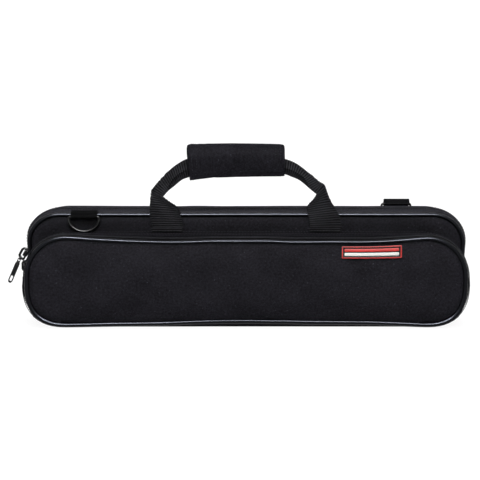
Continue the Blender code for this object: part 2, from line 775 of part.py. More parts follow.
def handle_grip():
    """The sewn sleeve round the middle of the handle, with a channel that the webbing runs through."""
    middle_y = HANDLE_PIVOT_Y + WEBBING / 2 - WEBBING * 0.3
    outside = []
    inside = []
    for row in GRIP_SHARES:
        x = row[0] * HANDLE_SPAN
        sleeve_bottom, sleeve_top, channel_bottom, channel_top = (
            HANDLE_PIVOT_Z + share * HANDLE_HEIGHT for share in row[1:]
        )
        outside.append(oval(x, middle_y, sleeve_bottom, sleeve_top, GRIP_THICKNESS))
        inside.append(oval(x, middle_y, channel_bottom, channel_top, GRIP_CHANNEL))
    made = sweep("handle_grip", outside + inside[::-1], True, WEB)
    set_origin(made, (0.0, HANDLE_PIVOT_Y, HANDLE_PIVOT_Z))


def d_ring(name, bar):
    """A wire D that hangs from its straight bar."""
    route = [
        (-RING_HALF_WIDTH, -RING_CORNER),
        (-RING_HALF_WIDTH + RING_CORNER * 0.3, -RING_CORNER * 0.3),
        (-RING_HALF_WIDTH + RING_CORNER, 0.0),
        (RING_HALF_WIDTH - RING_CORNER, 0.0),
        (RING_HALF_WIDTH - RING_CORNER * 0.3, -RING_CORNER * 0.3),
        (RING_HALF_WIDTH, -RING_CORNER),
    ]
    for step in range(1, RING_BOW_STEPS):
        turn = math.pi * step / RING_BOW_STEPS
        depth = RING_CORNER + (RING_DROP - RING_CORNER) * math.sin(turn)
        route.append((RING_HALF_WIDTH * math.cos(turn), -depth))
    points = [(bar[0] + x, bar[1], bar[2] + z) for x, z in route]
    made = tube_loop(name, points, (0, 1, 0), RING_WIRE_RADIUS, RING_SIDES, BLACK_METAL)
    set_origin(made, bar)


def ring_tab(name, bar, route):
    """A loop of webbing round the bar of a D-ring; the route is its middle line seen from the side."""
    half = RING_TAB_WIDTH / 2
    slab(
        name,
        strip_outline(route, RING_TAB_WEBBING),
        lambda a, b, c: (bar[0] + c, a, b),
        -half,
        half,
        WEB,
    )


def tab_loop(bar, start_deg, end_deg):
    """Middle line of the webbing where it turns round the bar."""
    radius = RING_WIRE_RADIUS + GAP + RING_TAB_WEBBING / 2
    turns = np.radians(np.linspace(start_deg, end_deg, TAB_LOOP_STEPS + 1))
    return [(bar[1] + radius * math.cos(turn), bar[2] + radius * math.sin(turn)) for turn in turns]


def ring_tabs():
    """The front tab comes over the lid's piping; the rear one stands up behind its own and falls back."""
    lift = GAP + RING_TAB_WEBBING / 2
    over_z = CASE_HEIGHT + lift
    front_y = LID_SEAM_Y - PIPING_RADIUS - lift
    front = [
        (LID_SEAM_Y + PIPING_RADIUS + TAB_SETBACK, over_z),
        (LID_SEAM_Y, over_z),
        (LID_SEAM_Y - PIPING_RADIUS * 0.8, over_z - PIPING_RADIUS * 0.35),
        (front_y, over_z - PIPING_RADIUS * 1.2),
    ]
    ring_tab("front_d_ring_tab", FRONT_RING_BAR, front + tab_loop(FRONT_RING_BAR, 138, 372))
    crest = REAR_RING_BAR[2] + REAR_TAB_RISE - RING_TAB_WEBBING / 2
    rear = [
        (REAR_SEAM_Y - PIPING_RADIUS - TAB_SETBACK, over_z),
        (REAR_SEAM_Y - PIPING_RADIUS * 1.3, over_z + REAR_TAB_RISE * 0.2),
        (REAR_SEAM_Y - PIPING_RADIUS * 0.5, over_z + REAR_TAB_RISE * 0.6),
        (REAR_SEAM_Y + PIPING_RADIUS * 0.7, crest - RING_TAB_WEBBING * 0.2),
        (REAR_SEAM_Y + PIPING_RADIUS * 2.1, crest - RING_TAB_WEBBING * 0.6),
    ]
    ring_tab("rear_d_ring_tab", REAR_RING_BAR, rear + tab_loop(REAR_RING_BAR, 48, -170))


class SliderPlace:
    """Where a slider sits: along is up the zip, out is away from the case, both seen from the front."""

    def __init__(self, x, y, z, out_deg):
        self.origin = np.array((x, y, z))
        out = math.radians(out_deg)
        self.out = np.array((math.cos(out), 0.0, math.sin(out)))
        self.along = np.array((math.sin(out), 0.0, -math.cos(out)))

    def point(self, along, out, across):
        place = self.origin + self.along * along + self.out * out
        return tuple(place + np.array((0.0, across, 0.0)))


def bridge_route():
    """Middle line of the slider's bridge: places along the zip, and heights over the tape."""
    foot = COIL_HEIGHT + GAP + SLIDER_PLATE
    top = BRIDGE_HEIGHT - BRIDGE_THICKNESS / 2
    return [(along * SLIDER_HALF_LENGTH, foot + rise * top) for along, rise in BRIDGE_OUTLINE_SHARES]


def pull_hinge(place):
    """The place on the bridge that a pull swings about: near the upper end of its lower leg."""
    foot, shoulder = np.array(bridge_route()[0]), np.array(bridge_route()[1])
    along, out = foot + (shoulder - foot) * 0.85
    return np.array(place.point(along, out, 0.0))


def slider(name, place, pivot):
    """A zip slider: its upper plate, wide at the leading end, and the bridge that holds its pull."""
    low = COIL_HEIGHT + GAP
    tail = SLIDER_HALF_WIDTH * SLIDER_TAIL_SHARE
    outline = [
        (-SLIDER_HALF_LENGTH, -tail),
        (-SLIDER_HALF_LENGTH, tail),
        (0.0, SLIDER_HALF_WIDTH * 0.9),
        (SLIDER_HALF_LENGTH * 0.7, SLIDER_HALF_WIDTH),
        (SLIDER_HALF_LENGTH, SLIDER_HALF_WIDTH * 0.7),
        (SLIDER_HALF_LENGTH, -SLIDER_HALF_WIDTH * 0.7),
        (SLIDER_HALF_LENGTH * 0.7, -SLIDER_HALF_WIDTH),
        (0.0, -SLIDER_HALF_WIDTH * 0.9),
    ]
    made = slab(
        name, outline, lambda a, b, c: place.point(a, c, b), low, low + SLIDER_PLATE, BLACK_METAL
    )
    bridge = slab(
        name + "_bridge",
        strip_outline(bridge_route(), BRIDGE_THICKNESS),
        lambda a, b, c: place.point(a, b, c),
        -BRIDGE_WIDTH / 2,
        BRIDGE_WIDTH / 2,
        None,
    )
    combine(made, bridge, "UNION")
    set_origin(made, pivot)


def pull(name, hinge, lean_deg):
    """The link and tab of a zip pull. It hangs from the hinge, leaning out by the angle."""
    lean = math.radians(lean_deg)
    down = np.array((-math.sin(lean), 0.0, -math.cos(lean)))
    side = np.array((math.cos(lean), 0.0, -math.sin(lean)))
    middle_radius = LINK_INNER_RADIUS + LINK_WIRE_RADIUS
    centre = hinge + down * LINK_DROP
    turns = [2 * math.pi * step / LINK_STEPS for step in range(LINK_STEPS)]
    across = np.array((0.0, 1.0, 0.0))
    route = [centre + middle_radius * (down * math.cos(turn) + across * math.sin(turn)) for turn in turns]
    link = tube_loop(name + "_link", route, side, LINK_WIRE_RADIUS, LINK_SIDES, BLACK_METAL)
    set_origin(link, tuple(hinge))

    def place(a, b, c):
        return tuple(hinge + down * a + side * b + across * c)

    hole = LINK_DROP + middle_radius + PULL_HOLE_SLACK
    top = hole - PULL_HOLE_RADIUS - PULL_TOP_MARGIN
    half = PULL_WIDTH / 2
    neck = half * PULL_NECK_SHARE
    outline = [
        (top, neck * 0.5),
        (top + neck * 0.5, neck),
        (hole + PULL_HOLE_RADIUS * 2, neck),
        (hole + PULL_HOLE_RADIUS * 4, half),
        (PULL_LENGTH - half, half),
        (PULL_LENGTH - half * 0.3, half * 0.7),
        (PULL_LENGTH, half * 0.25),
    ]
    outline += [(a, -b) for a, b in reversed(outline)]
    tab = slab(name + "_tab", outline, place, -PULL_THICKNESS / 2, PULL_THICKNESS / 2, BLACK_METAL)
    turns = [2 * math.pi * step / HOLE_SIDES for step in range(HOLE_SIDES)]
    round_hole = [(hole + PULL_HOLE_RADIUS * math.cos(t), PULL_HOLE_RADIUS * math.sin(t)) for t in turns]
    end = PULL_LENGTH - EYELET_MARGIN - EYELET_HALF_WIDTH
    start = end - (EYELET_LENGTH - 2 * EYELET_HALF_WIDTH)
    eyelet = [
        ((end if math.cos(t) >= 0 else start) + EYELET_HALF_WIDTH * math.cos(t), EYELET_HALF_WIDTH * math.sin(t))
        for t in (2 * math.pi * (step + 0.5) / HOLE_SIDES for step in range(HOLE_SIDES))
    ]
    for part, shape in (("_hole", round_hole), ("_eyelet", eyelet)):
        cutter = slab(name + part, shape, place, -PULL_THICKNESS, PULL_THICKNESS, None)
        combine(tab, cutter, "DIFFERENCE")
    set_origin(tab, tuple(hinge))


def zip_hardware():
    """A slider and pull on each zip."""
    main_x = -(CASE_HALF_LENGTH + main_bulge(PARTING_Y))
    main_place = SliderPlace(main_x, PARTING_Y, MAIN_SLIDER_Z, 180)
    slider("main_slider", main_place, (main_x, PARTING_Y, MAIN_SLIDER_Z))
    pull("main_pull", pull_hinge(main_place), 0)
    corner_x = -(POCKET_HALF_LENGTH + pocket_bulge(POCKET_ZIP_Y) - POCKET_CORNER_RADIUS)
    corner_z = POCKET_TOP - POCKET_CORNER_RADIUS
    turn = math.radians(POCKET_SLIDER_DEG)
    reach = POCKET_CORNER_RADIUS + POCKET_SLIDER_LIFT
    pocket_place = SliderPlace(
        corner_x + reach * math.cos(turn),
        POCKET_ZIP_Y,
        corner_z + reach * math.sin(turn),
        POCKET_SLIDER_DEG,
    )
    slider("pocket_slider", pocket_place, (corner_x, POCKET_ZIP_Y, corner_z))
    pull("pocket_pull", pull_hinge(pocket_place), PULL_REST_DEG)
    print("main pull hinge", pull_hinge(main_place))
    print("pocket slider pivot", corner_x, POCKET_ZIP_Y, corner_z)
    print("pocket pull hinge", pull_hinge(pocket_place))


clear_scene()
shell_half("rear", "rear_panel", REAR_SEAM_Y, 1)
shell_half("lid", "lid_front_panel", LID_SEAM_Y, -1)
flute_insert()
lid_pad()
pocket_sides()
pocket_front()
label_patch()
handle_tails()
handle_strap()
handle_grip()
ring_tabs()
d_ring("front_d_ring", FRONT_RING_BAR)
d_ring("rear_d_ring", REAR_RING_BAR)
zip_hardware()
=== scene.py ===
"""Soft flute case with an accessory pocket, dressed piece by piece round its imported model.

Lengths are metres in the model's own frame: X along the case, Y to the back and Z up.
"""

import math

import bpy
import numpy as np
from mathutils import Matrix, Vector, noise


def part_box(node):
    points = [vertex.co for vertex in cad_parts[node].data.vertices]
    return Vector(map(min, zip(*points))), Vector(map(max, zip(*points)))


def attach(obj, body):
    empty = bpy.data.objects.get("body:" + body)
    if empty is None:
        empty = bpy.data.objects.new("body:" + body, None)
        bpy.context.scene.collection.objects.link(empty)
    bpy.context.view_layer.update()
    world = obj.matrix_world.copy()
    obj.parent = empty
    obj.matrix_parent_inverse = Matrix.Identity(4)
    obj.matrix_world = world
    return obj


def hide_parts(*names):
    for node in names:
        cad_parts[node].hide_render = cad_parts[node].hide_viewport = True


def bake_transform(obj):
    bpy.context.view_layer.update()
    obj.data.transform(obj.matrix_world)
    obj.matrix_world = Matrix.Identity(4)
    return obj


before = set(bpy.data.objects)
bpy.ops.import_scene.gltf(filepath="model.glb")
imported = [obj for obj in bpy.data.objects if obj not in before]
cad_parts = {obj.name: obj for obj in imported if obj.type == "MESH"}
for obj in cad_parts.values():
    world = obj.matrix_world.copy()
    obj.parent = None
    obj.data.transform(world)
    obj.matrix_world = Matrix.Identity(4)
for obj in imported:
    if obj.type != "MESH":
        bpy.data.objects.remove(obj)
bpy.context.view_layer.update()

# Foam shells: two moulded trays of white closed-cell foam, one for the rear half and one for the
# lid. They give the soft case its form. The cloth is stretched over them and the plush is glued in.
FOAM_EDGE_ROUND = 0.0012
FOAM_BEAD = 0.0032
MERGE_WITHIN = 0.000005
FLAT_WITHIN_DEG = 1
# Each half: what its names start with, the side of the parting that it is on, and its body.
HALVES = (("rear", 1, "rear_half"), ("lid", -1, "lid"))


def linear(hex_text):
    """A colour written as sRGB hex, as linear red, green, blue and alpha."""
    found = []
    for place in (1, 3, 5):
        value = int(hex_text[place:place + 2], 16) / 255
        found.append(value / 12.92 if value <= 0.04045 else ((value + 0.055) / 1.055) ** 2.4)
    return (*found, 1.0)


def join(tree, node, **joined):
    """Gives a node's inputs, each by its name or place, a value or a link."""
    for name, value in joined.items():
        socket = node.inputs[int(name[1:])] if name[1:].isdigit() else node.inputs[name.replace("_", " ")]
        if isinstance(value, bpy.types.NodeSocket):
            tree.links.new(value, socket)
        else:
            socket.default_value = value


def add_node(tree, kind, settings=None, **joined):
    """Adds a node with its settings and inputs."""
    made = tree.nodes.new(kind)
    for name, value in (settings or {}).items():
        setattr(made, name, value)
    join(tree, made, **joined)
    return made


def start_look(name, space="Object"):
    """A new material, its tree, its shader and the coordinates that its pattern lies on."""
    made = bpy.data.materials.new(name)
    made.use_nodes = True
    tree = made.node_tree
    return made, tree, tree.nodes["Principled BSDF"], add_node(tree, "ShaderNodeTexCoord").outputs[space]


def maths(tree, operation, first, second=0.5):
    """One step of arithmetic."""
    return add_node(tree, "ShaderNodeMath", {"operation": operation}, _0=first, _1=second).outputs[0]


def noise_on(tree, where, scale, detail, roughness=0.5):
    """Noise from 0 to 1."""
    return add_node(
        tree, "ShaderNodeTexNoise", Vector=where, Scale=scale, Detail=detail, Roughness=roughness
    ).outputs["Fac"]


def spread_of(tree, value, low=0.0, high=1.0, to_low=0.0, to_high=1.0):
    """A value stretched from one range to another and held inside it."""
    return add_node(
        tree, "ShaderNodeMapRange", Value=value, From_Min=low, From_Max=high, To_Min=to_low, To_Max=to_high
    ).outputs["Result"]


def blend_colours(tree, amount, first, second):
    """A mix of two colours, each a hex text or a link, by an amount from 0 to 1."""
    first, second = (linear(colour) if isinstance(colour, str) else colour for colour in (first, second))
    return add_node(
        tree, "ShaderNodeMix", {"data_type": "RGBA"}, Factor=amount, _6=first, _7=second
    ).outputs[2]


def finish_look(tree, shader, colour, height, depth, strength, **inputs):
    """Gives a shader its colour, a relief of 0 to 1 over a real depth, and its other inputs."""
    bump = add_node(tree, "ShaderNodeBump", Height=height, Distance=depth, Strength=strength)
    join(tree, shader, Base_Color=colour, Normal=bump.outputs["Normal"], **inputs)


def only(piece):
    """Selects one piece alone."""
    bpy.ops.object.select_all(action="DESELECT")
    piece.select_set(True)
    bpy.context.view_layer.objects.active = piece


def edit(piece):
    """Opens a piece for editing, all selected."""
    only(piece)
    bpy.ops.object.mode_set(mode="EDIT")
    bpy.ops.mesh.select_all(action="SELECT")


def end_edit():
    """Goes back from editing."""
    bpy.ops.object.mode_set(mode="OBJECT")


def smooth(piece, up_to_deg=180):
    """Shades a piece smooth, but for its edges sharper than an angle."""
    only(piece)
    if up_to_deg < 180:
        bpy.ops.object.shade_smooth_by_angle(angle=math.radians(up_to_deg))
    else:
        bpy.ops.object.shade_smooth()


def finish_with(piece, kind, **settings):
    """Adds a modifier and applies it."""
    step = piece.modifiers.new(kind.lower(), kind)
    for name, value in settings.items():
        setattr(step, name, value)
    only(piece)
    bpy.ops.object.modifier_apply(modifier=step.name)


def round_edges(piece, width, segments, over_deg):
    """Rounds the edges sharper than an angle."""
    limit = math.radians(over_deg)
    finish_with(piece, "BEVEL", width=width, segments=segments, limit_method="ANGLE", angle_limit=limit)


def points_of(piece):
    """The piece's vertices as an array."""
    points = np.empty(len(piece.data.vertices) * 3)
    piece.data.vertices.foreach_get("co", points)
    return points.reshape(-1, 3)


def move_points(piece, points):
    """Puts the piece's vertices at new places."""
    piece.data.vertices.foreach_set("co", np.ascontiguousarray(points, float).reshape(-1))
    piece.data.update()


def new_object(name, data):
    """An object in the scene with the data given."""
    made = bpy.data.objects.new(name, data)
    bpy.context.scene.collection.objects.link(made)
    return made


def copy_of(node, name):
    """A copy of a solid of the model as one closed mesh, to be finished as a new piece."""
    made = new_object(name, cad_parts[node].data.copy())
    made.data.materials.clear()
    edit(made)
    bpy.ops.mesh.remove_doubles(threshold=MERGE_WITHIN)
    bpy.ops.mesh.dissolve_limited(angle_limit=math.radians(FLAT_WITHIN_DEG))
    end_edit()
    return made


def dress(piece, look, body, slot, *nodes):
    """Gives a finished piece its material and its body, and hides the nodes that it stands for; its slot is
    not used.
    """
    piece.data.materials.clear()
    piece.data.materials.append(look)
    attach(piece, body)
    if nodes:
        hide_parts(*nodes)


# Expanded foam, moulded in steam: fused beads about 3 mm across, matt, with painted shade where the beads
# meet.
foam_look, tree, shader, where = start_look("moulded_bead_foam")
beads = add_node(
    tree, "ShaderNodeTexVoronoi", {"feature": "SMOOTH_F1"}, Vector=where, Scale=1 / FOAM_BEAD, Smoothness=0.4
).outputs["Distance"]
# The colour goes darker towards the edge of each bead: painted shade between the beads.
foam_colour = blend_colours(tree, beads, "#dcdcd6", "#b9b9b2")
finish_look(tree, shader, foam_colour, beads, 0.0003, 0.7, Roughness=0.85, IOR=1.5)

for half, _, body in HALVES:
    shell = copy_of(half + "_foam_shell", half + "_foam_tray")
    round_edges(shell, FOAM_EDGE_ROUND, 3, 40)
    smooth(shell, 35)
    dress(shell, foam_look, body, "foam", half + "_foam_shell")

# Flute insert: a foam block covered with black plush, in the rear half. It has a trough for each of
# the three joints of the flute, with finger scoops across the ribs. The plush softens every edge.
INSERT_CELL = 0.0017
PILE_DEPTH = 0.00022
PILE_GRAIN = 0.0011
PLUSH_WANDER = 0.0045

# Short-pile plush, knitted and cut: matt fibres that catch light at the edges. The real grain is
# finer than 0.5 mm and is drawn at 1.1 mm so that it shows.
plush_look, tree, shader, where = start_look("short_pile_plush")
pile = noise_on(tree, where, 1 / PILE_GRAIN, 3.0, 0.6)
brushed = maths(tree, "MULTIPLY", pile, noise_on(tree, where, 32.0, 2.0))
plush_colour = blend_colours(tree, spread_of(tree, brushed, 0.12, 0.42), "#101014", "#24242c")
finish_look(
    tree, shader, plush_colour, pile, PILE_DEPTH * 2, 0.8, Roughness=0.95, Specular_IOR_Level=0.1,
    Sheen_Weight=0.35, Sheen_Roughness=0.45, Sheen_Tint=linear("#9a9aa8"),
)


def rough_up(piece, grain, depth):
    """Moves the surface in and out by a fixed noise, as nap or slack in the cloth does."""
    piece.data.update()
    points = points_of(piece)
    normals = np.empty(len(points) * 3)
    piece.data.vertices.foreach_get("normal", normals)
    amounts = np.array([noise.noise(Vector(point / grain)) for point in points])
    move_points(piece, points + normals.reshape(-1, 3) * amounts[:, None] * depth)


insert = copy_of("flute_insert", "flute_insert_plush")
finish_with(insert, "REMESH", mode="VOXEL", voxel_size=INSERT_CELL)
finish_with(insert, "SMOOTH", factor=0.5, iterations=4)
rough_up(insert, PLUSH_WANDER, -PILE_DEPTH)
smooth(insert)
dress(insert, plush_look, "rear_half", "plush", "flute_insert")

# Lid pad: a soft pad of foam in plush, glued inside the lid, which holds the joints in their
# troughs when the case is shut. Only its face shows, crowned over the padding.
PAD_CELL = 0.0045
PAD_SHRINK = (0.0022, 0.00077, 0.0022)
PAD_PRESSURE = 4.0
PAD_REACH = 0.0034
PAD_WANDER = (0.02, 0.0005)
CLOTH_FRAMES = 20


def fill_out(piece, pressure, reach, held=(), shrink=0.0):
    """Lets a piece swell as cloth under pressure, and moves no point further than its reach."""
    start = points_of(piece)
    step = piece.modifiers.new("cloth", "CLOTH")
    settings = step.settings
    settings.quality = 6
    settings.mass = 0.25
    settings.use_pressure = True
    settings.uniform_pressure_force = pressure
    settings.shrink_min = shrink
    settings.effector_weights.gravity = 0.0
    if len(held):
        sewn = piece.vertex_groups.new(name="sewn")
        sewn.add([int(place) for place in held], 1.0, "REPLACE")
        settings.vertex_group_mass = "sewn"
    step.point_cache.frame_start = 1
    step.point_cache.frame_end = CLOTH_FRAMES
    for number in range(1, CLOTH_FRAMES + 1):
        bpy.context.scene.frame_set(number)
    only(piece)
    bpy.ops.object.modifier_apply(modifier=step.name)
    bpy.context.scene.frame_set(1)
    moved = points_of(piece) - start
    far = np.linalg.norm(moved, axis=1, keepdims=True)
    move_points(piece, start + moved * np.minimum(1.0, reach / np.maximum(far, 1e-9)))
    piece.vertex_groups.clear()


pad = copy_of("lid_pad", "lid_pad_plush")
low, high = (np.array(corner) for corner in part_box("lid_pad"))
middle, size = (low + high) / 2, high - low
move_points(pad, middle + (points_of(pad) - middle) * (size - 2 * np.array(PAD_SHRINK)) / size)
finish_with(pad, "REMESH", mode="VOXEL", voxel_size=PAD_CELL)
fill_out(pad, PAD_PRESSURE, PAD_REACH)
finish_with(pad, "SUBSURF", levels=1, render_levels=1)
rough_up(pad, *PAD_WANDER)
smooth(pad)
dress(pad, plush_look, "lid", "plush", "lid_pad")

# Panels: the flat front of the lid and the flat back of the rear half, in black woven nylon with a
# thin foam backing. Each is cut as a rounded oblong, drawn over the foam tray and sewn in all round.
CASE_HALF_LENGTH = 0.2082
CASE_HEIGHT = 0.1044
CASE_CORNER = 0.031
PARTING_Y = -0.0165
HALF_DEPTH = 0.033
PANEL_INSET = 0.0032
PANEL_CELL = 0.0026
PANEL_RISE = 0.0015
PANEL_RISE_WIDTH = 0.010
PANEL_THICKNESS = 0.0012
SEAM_DIP = 0.0010
SEAM_DIP_WIDTH = 0.0042
PANEL_REACH = 0.0007
PANEL_PRESSURE = 0.6
PANEL_SEWN_CELLS = 0.4
CLOTH_SMOOTH_DEG = 50
REAR_SAG = 0.0013
REAR_SAG_WIDTH = 0.011
REAR_SAG_PLACES = (-0.205, -0.157, -0.09, -0.04, 0.12, 0.17, 0.205)
REAR_SAG_SHARES = (0.0, 0.25, 0.65, 1.0, 1.05, 1.1, 0.0)
END_SPREAD = 0.0014
END_SPREAD_RIGHT = (0.050, 0.075)
END_SPREAD_LEFT = (0.069, 0.085)
END_SPREAD_WIDTH = 0.03
THREAD_PITCH = 0.0012
THREAD_RELIEF = 0.00016
SEAM_MERGE_WITHIN = 0.00002
LINT_PER_M = 430.0


def map_flat(piece, up):
    """Writes each point's place in metres as its UV: X, and Y or Z as up says."""
    for corner in piece.data.loops:
        flat = piece.data.vertices[corner.vertex_index].co
        piece.data.uv_layers.active.data[corner.index].uv = (flat.x, flat[up])


def cut_cloth(name, length, width, cell, cell_across=None):
    """A flat strip of cloth cut to size from the origin, with its flat place in metres as its UV map."""
    bpy.ops.mesh.primitive_grid_add(
        x_subdivisions=max(1, round(length / cell)),
        y_subdivisions=max(1, round(width / (cell_across or cell))),
        size=1.0,
        location=(0.5, 0.5, 0.0),
    )
    strip = bpy.context.object
    strip.name = name
    bpy.ops.object.transform_apply(location=True, rotation=False, scale=False)
    edit(strip)
    bpy.ops.transform.resize(value=(length, width, 1.0), center_override=(0.0, 0.0, 0.0))
    end_edit()
    map_flat(strip, 1)
    return strip


def shape_to(piece, place):
    """Moves each point to where it is sewn. Place takes the flat x and y and gives points."""
    points = points_of(piece)
    move_points(piece, place(points[:, 0], points[:, 1]))


def flip(piece):
    """Turns the faces over."""
    edit(piece)
    bpy.ops.mesh.flip_normals()
    end_edit()


def turn_outwards(piece):
    """Merges the ends that meet, and points the faces outwards."""
    edit(piece)
    bpy.ops.mesh.remove_doubles(threshold=SEAM_MERGE_WITHIN)
    bpy.ops.mesh.normals_make_consistent(inside=False)
    end_edit()


def lay_strip(name, size, cell, place, thickness, offset=0.0, up_to_deg=60):
    """A strip of cloth or webbing cut flat, laid where it is sewn, and given its thickness."""
    strip = cut_cloth(name, *size, *cell)
    shape_to(strip, place)
    finish_with(strip, "SOLIDIFY", thickness=thickness, offset=offset)
    turn_outwards(strip)
    smooth(strip, up_to_deg)
    return strip


def cut_panel(name, half_length, bottom, top, corner, cell):
    """A flat sheet cut as a rounded oblong in X and Z, and how far each point is inside its rim."""
    half_height = (top - bottom) / 2
    sheet = cut_cloth(name, 2 * half_length, 2 * half_height, cell)
    points = points_of(sheet)
    x = points[:, 0] - half_length
    z = points[:, 1] - half_height
    over_x = np.abs(x) - (half_length - corner)
    over_z = np.abs(z) - (half_height - corner)
    corners = (over_x > 0) & (over_z > 0)
    pull_in = np.ones(len(x))
    pull_in[corners] = np.maximum(over_x, over_z)[corners] / np.hypot(over_x, over_z)[corners]
    x = np.where(corners, np.sign(x) * (half_length - corner + over_x * pull_in), x)
    z = np.where(corners, np.sign(z) * (half_height - corner + over_z * pull_in), z)
    away_x = np.abs(x) - (half_length - corner)
    away_z = np.abs(z) - (half_height - corner)
    inside = corner - np.where(corners, np.hypot(away_x, away_z), np.maximum(away_x, away_z))
    move_points(sheet, np.stack([x, np.zeros(len(x)), z + (top + bottom) / 2], axis=1))
    map_flat(sheet, 2)
    return sheet, np.maximum(inside, 0.0)


def clip01(values):
    """Values held between 0 and 1."""
    return np.clip(values, 0.0, 1.0)


def lay_panel(panel, inside, seam_y, side, rise, hang):
    """Draws a panel over its foam, with its rim dipped behind the piping."""
    points = points_of(panel)
    dip = SEAM_DIP * clip01(1 - inside / SEAM_DIP_WIDTH)
    points[:, 1] = seam_y + side * (PANEL_THICKNESS / 2 + rise - dip)
    points[:, 0], points[:, 2] = hang(*points.T)
    move_points(panel, points)


def finish_panel(panel, side, body, node):
    """Gives a panel its thickness behind its outer face, which is towards +Y or -Y, and dresses it."""
    if sum(face.normal.y * face.area for face in panel.data.polygons) * side < 0:
        flip(panel)
    finish_with(panel, "SOLIDIFY", thickness=PANEL_THICKNESS, offset=-1.0, use_even_offset=True)
    smooth(panel, CLOTH_SMOOTH_DEG)
    dress(panel, nylon_look, body, "nylon", node)


def case_hang(x, y, z):
    """The soft case out of true: its upper ends spread, and the top's back edge sags."""
    # The left end stays straight up to its corner, because the slider runs there.
    left, right = (np.interp(z, places, (0.0, 1.0)) for places in (END_SPREAD_LEFT, END_SPREAD_RIGHT))
    outer = clip01((np.abs(x) - (CASE_HALF_LENGTH - END_SPREAD_WIDTH)) / END_SPREAD_WIDTH)
    backward = clip01((y - (PARTING_Y + HALF_DEPTH - REAR_SAG_WIDTH)) / REAR_SAG_WIDTH)
    raised = clip01(2 * z / CASE_HEIGHT - 1)
    sag = REAR_SAG * np.interp(x, REAR_SAG_PLACES, REAR_SAG_SHARES) * backward**2 * raised**2
    return x + np.sign(x) * END_SPREAD * np.where(x < 0, left, right) * outer, z - sag


def wave_of(tree, value, pitch):
    """A sine of -1 to 1 along a length in metres."""
    return maths(tree, "SINE", maths(tree, "MULTIPLY", value, math.tau / pitch))


def mix_of(tree, amount, first, second):
    """A value between two others."""
    return add_node(tree, "ShaderNodeMix", Factor=amount, _2=first, _3=second).outputs[0]


def woven_look(name, dark, light, fleck, pitch, relief, roughness):
    """Plain-woven cloth on the piece's flat UV map, with slubs, flecks and a slow change of tone."""
    look, tree, shader, flat = start_look(name, "UV")
    ways = add_node(tree, "ShaderNodeSeparateXYZ", Vector=flat)
    waves = [wave_of(tree, ways.outputs[way], pitch) for way in ("X", "Y")]
    threads = spread_of(tree, maths(tree, "MULTIPLY", *waves), -1.0)
    grain = mix_of(tree, 0.5, threads, noise_on(tree, flat, 0.55 / pitch, 2.0, 0.7))
    shade = mix_of(tree, 0.22, grain, noise_on(tree, flat, 26.0, 3.0))
    cloth = blend_colours(tree, spread_of(tree, shade, 0.38, 0.68), dark, light)
    lint = spread_of(tree, noise_on(tree, flat, LINT_PER_M, 1.0), 0.68, 0.84)
    finish_look(
        tree, shader, blend_colours(tree, lint, cloth, fleck), grain, relief, 0.7,
        Roughness=spread_of(tree, grain, to_low=roughness + 0.08, to_high=roughness - 0.08), IOR=1.53,
        Specular_IOR_Level=0.006, Sheen_Weight=0.002, Sheen_Roughness=0.5, Sheen_Tint=linear("#b8b8c4"),
    )
    return look


# Woven pack-cloth nylon, 600 denier: matt, with a faint grain and light flecks of lint. The real
# thread spacing is 0.5 mm and is drawn at 1.2 mm so that it shows.
nylon_look = woven_look(
    "woven_pack_nylon", "#070709", "#2b2a30", "#38383f", THREAD_PITCH, THREAD_RELIEF, 0.74
)

for half, side, body in HALVES:
    panel, inside = cut_panel(
        half + "_panel_cloth", CASE_HALF_LENGTH - PANEL_INSET, PANEL_INSET, CASE_HEIGHT - PANEL_INSET,
        CASE_CORNER - PANEL_INSET, PANEL_CELL,
    )
    rise = PANEL_RISE * np.sin(np.minimum(inside / PANEL_RISE_WIDTH, 1.0) * math.pi / 2) ** 0.8
    lay_panel(panel, inside, PARTING_Y + side * HALF_DEPTH, side, rise, case_hang)
    if side > 0:
        sewn = np.flatnonzero(inside < PANEL_CELL * PANEL_SEWN_CELLS)
        fill_out(panel, PANEL_PRESSURE, PANEL_REACH, sewn, shrink=-0.004)
    finish_panel(panel, side, body, "rear_panel" if side > 0 else "lid_front_panel")

# Gussets: the bands of nylon round the sides of each half, cut as a straight strip and sewn between
# the panel's piping and the zip. The edge at the zip is turned under and stitched down.
SEAM_CELL = 0.0042
GUSSET_CELL_ACROSS = 0.0018
GUSSET_START = 0.0083
GUSSET_END = 0.031
GUSSET_DRAW = 0.0012
GUSSET_DRAW_WIDTH = 0.004
GUSSET_SLACK = 0.0005
GUSSET_SLACK_LEVEL = -0.3
GUSSET_RESTS_BELOW = 0.004
SLACK_GRAIN = 0.028
HEM_WIDTH = 0.0048
HEM_FOLD = 0.0006
HEM_RISE = 0.00035
END_SWELL = 0.0043
CLOTH_THICKNESS = 0.0011
STITCH_LENGTH = 0.0019
STITCH_PITCH = 0.0028
STITCH_RADIUS = 0.00022
# How near the next point is from which a seam's direction is taken.
NEXT_POINT = 0.0002


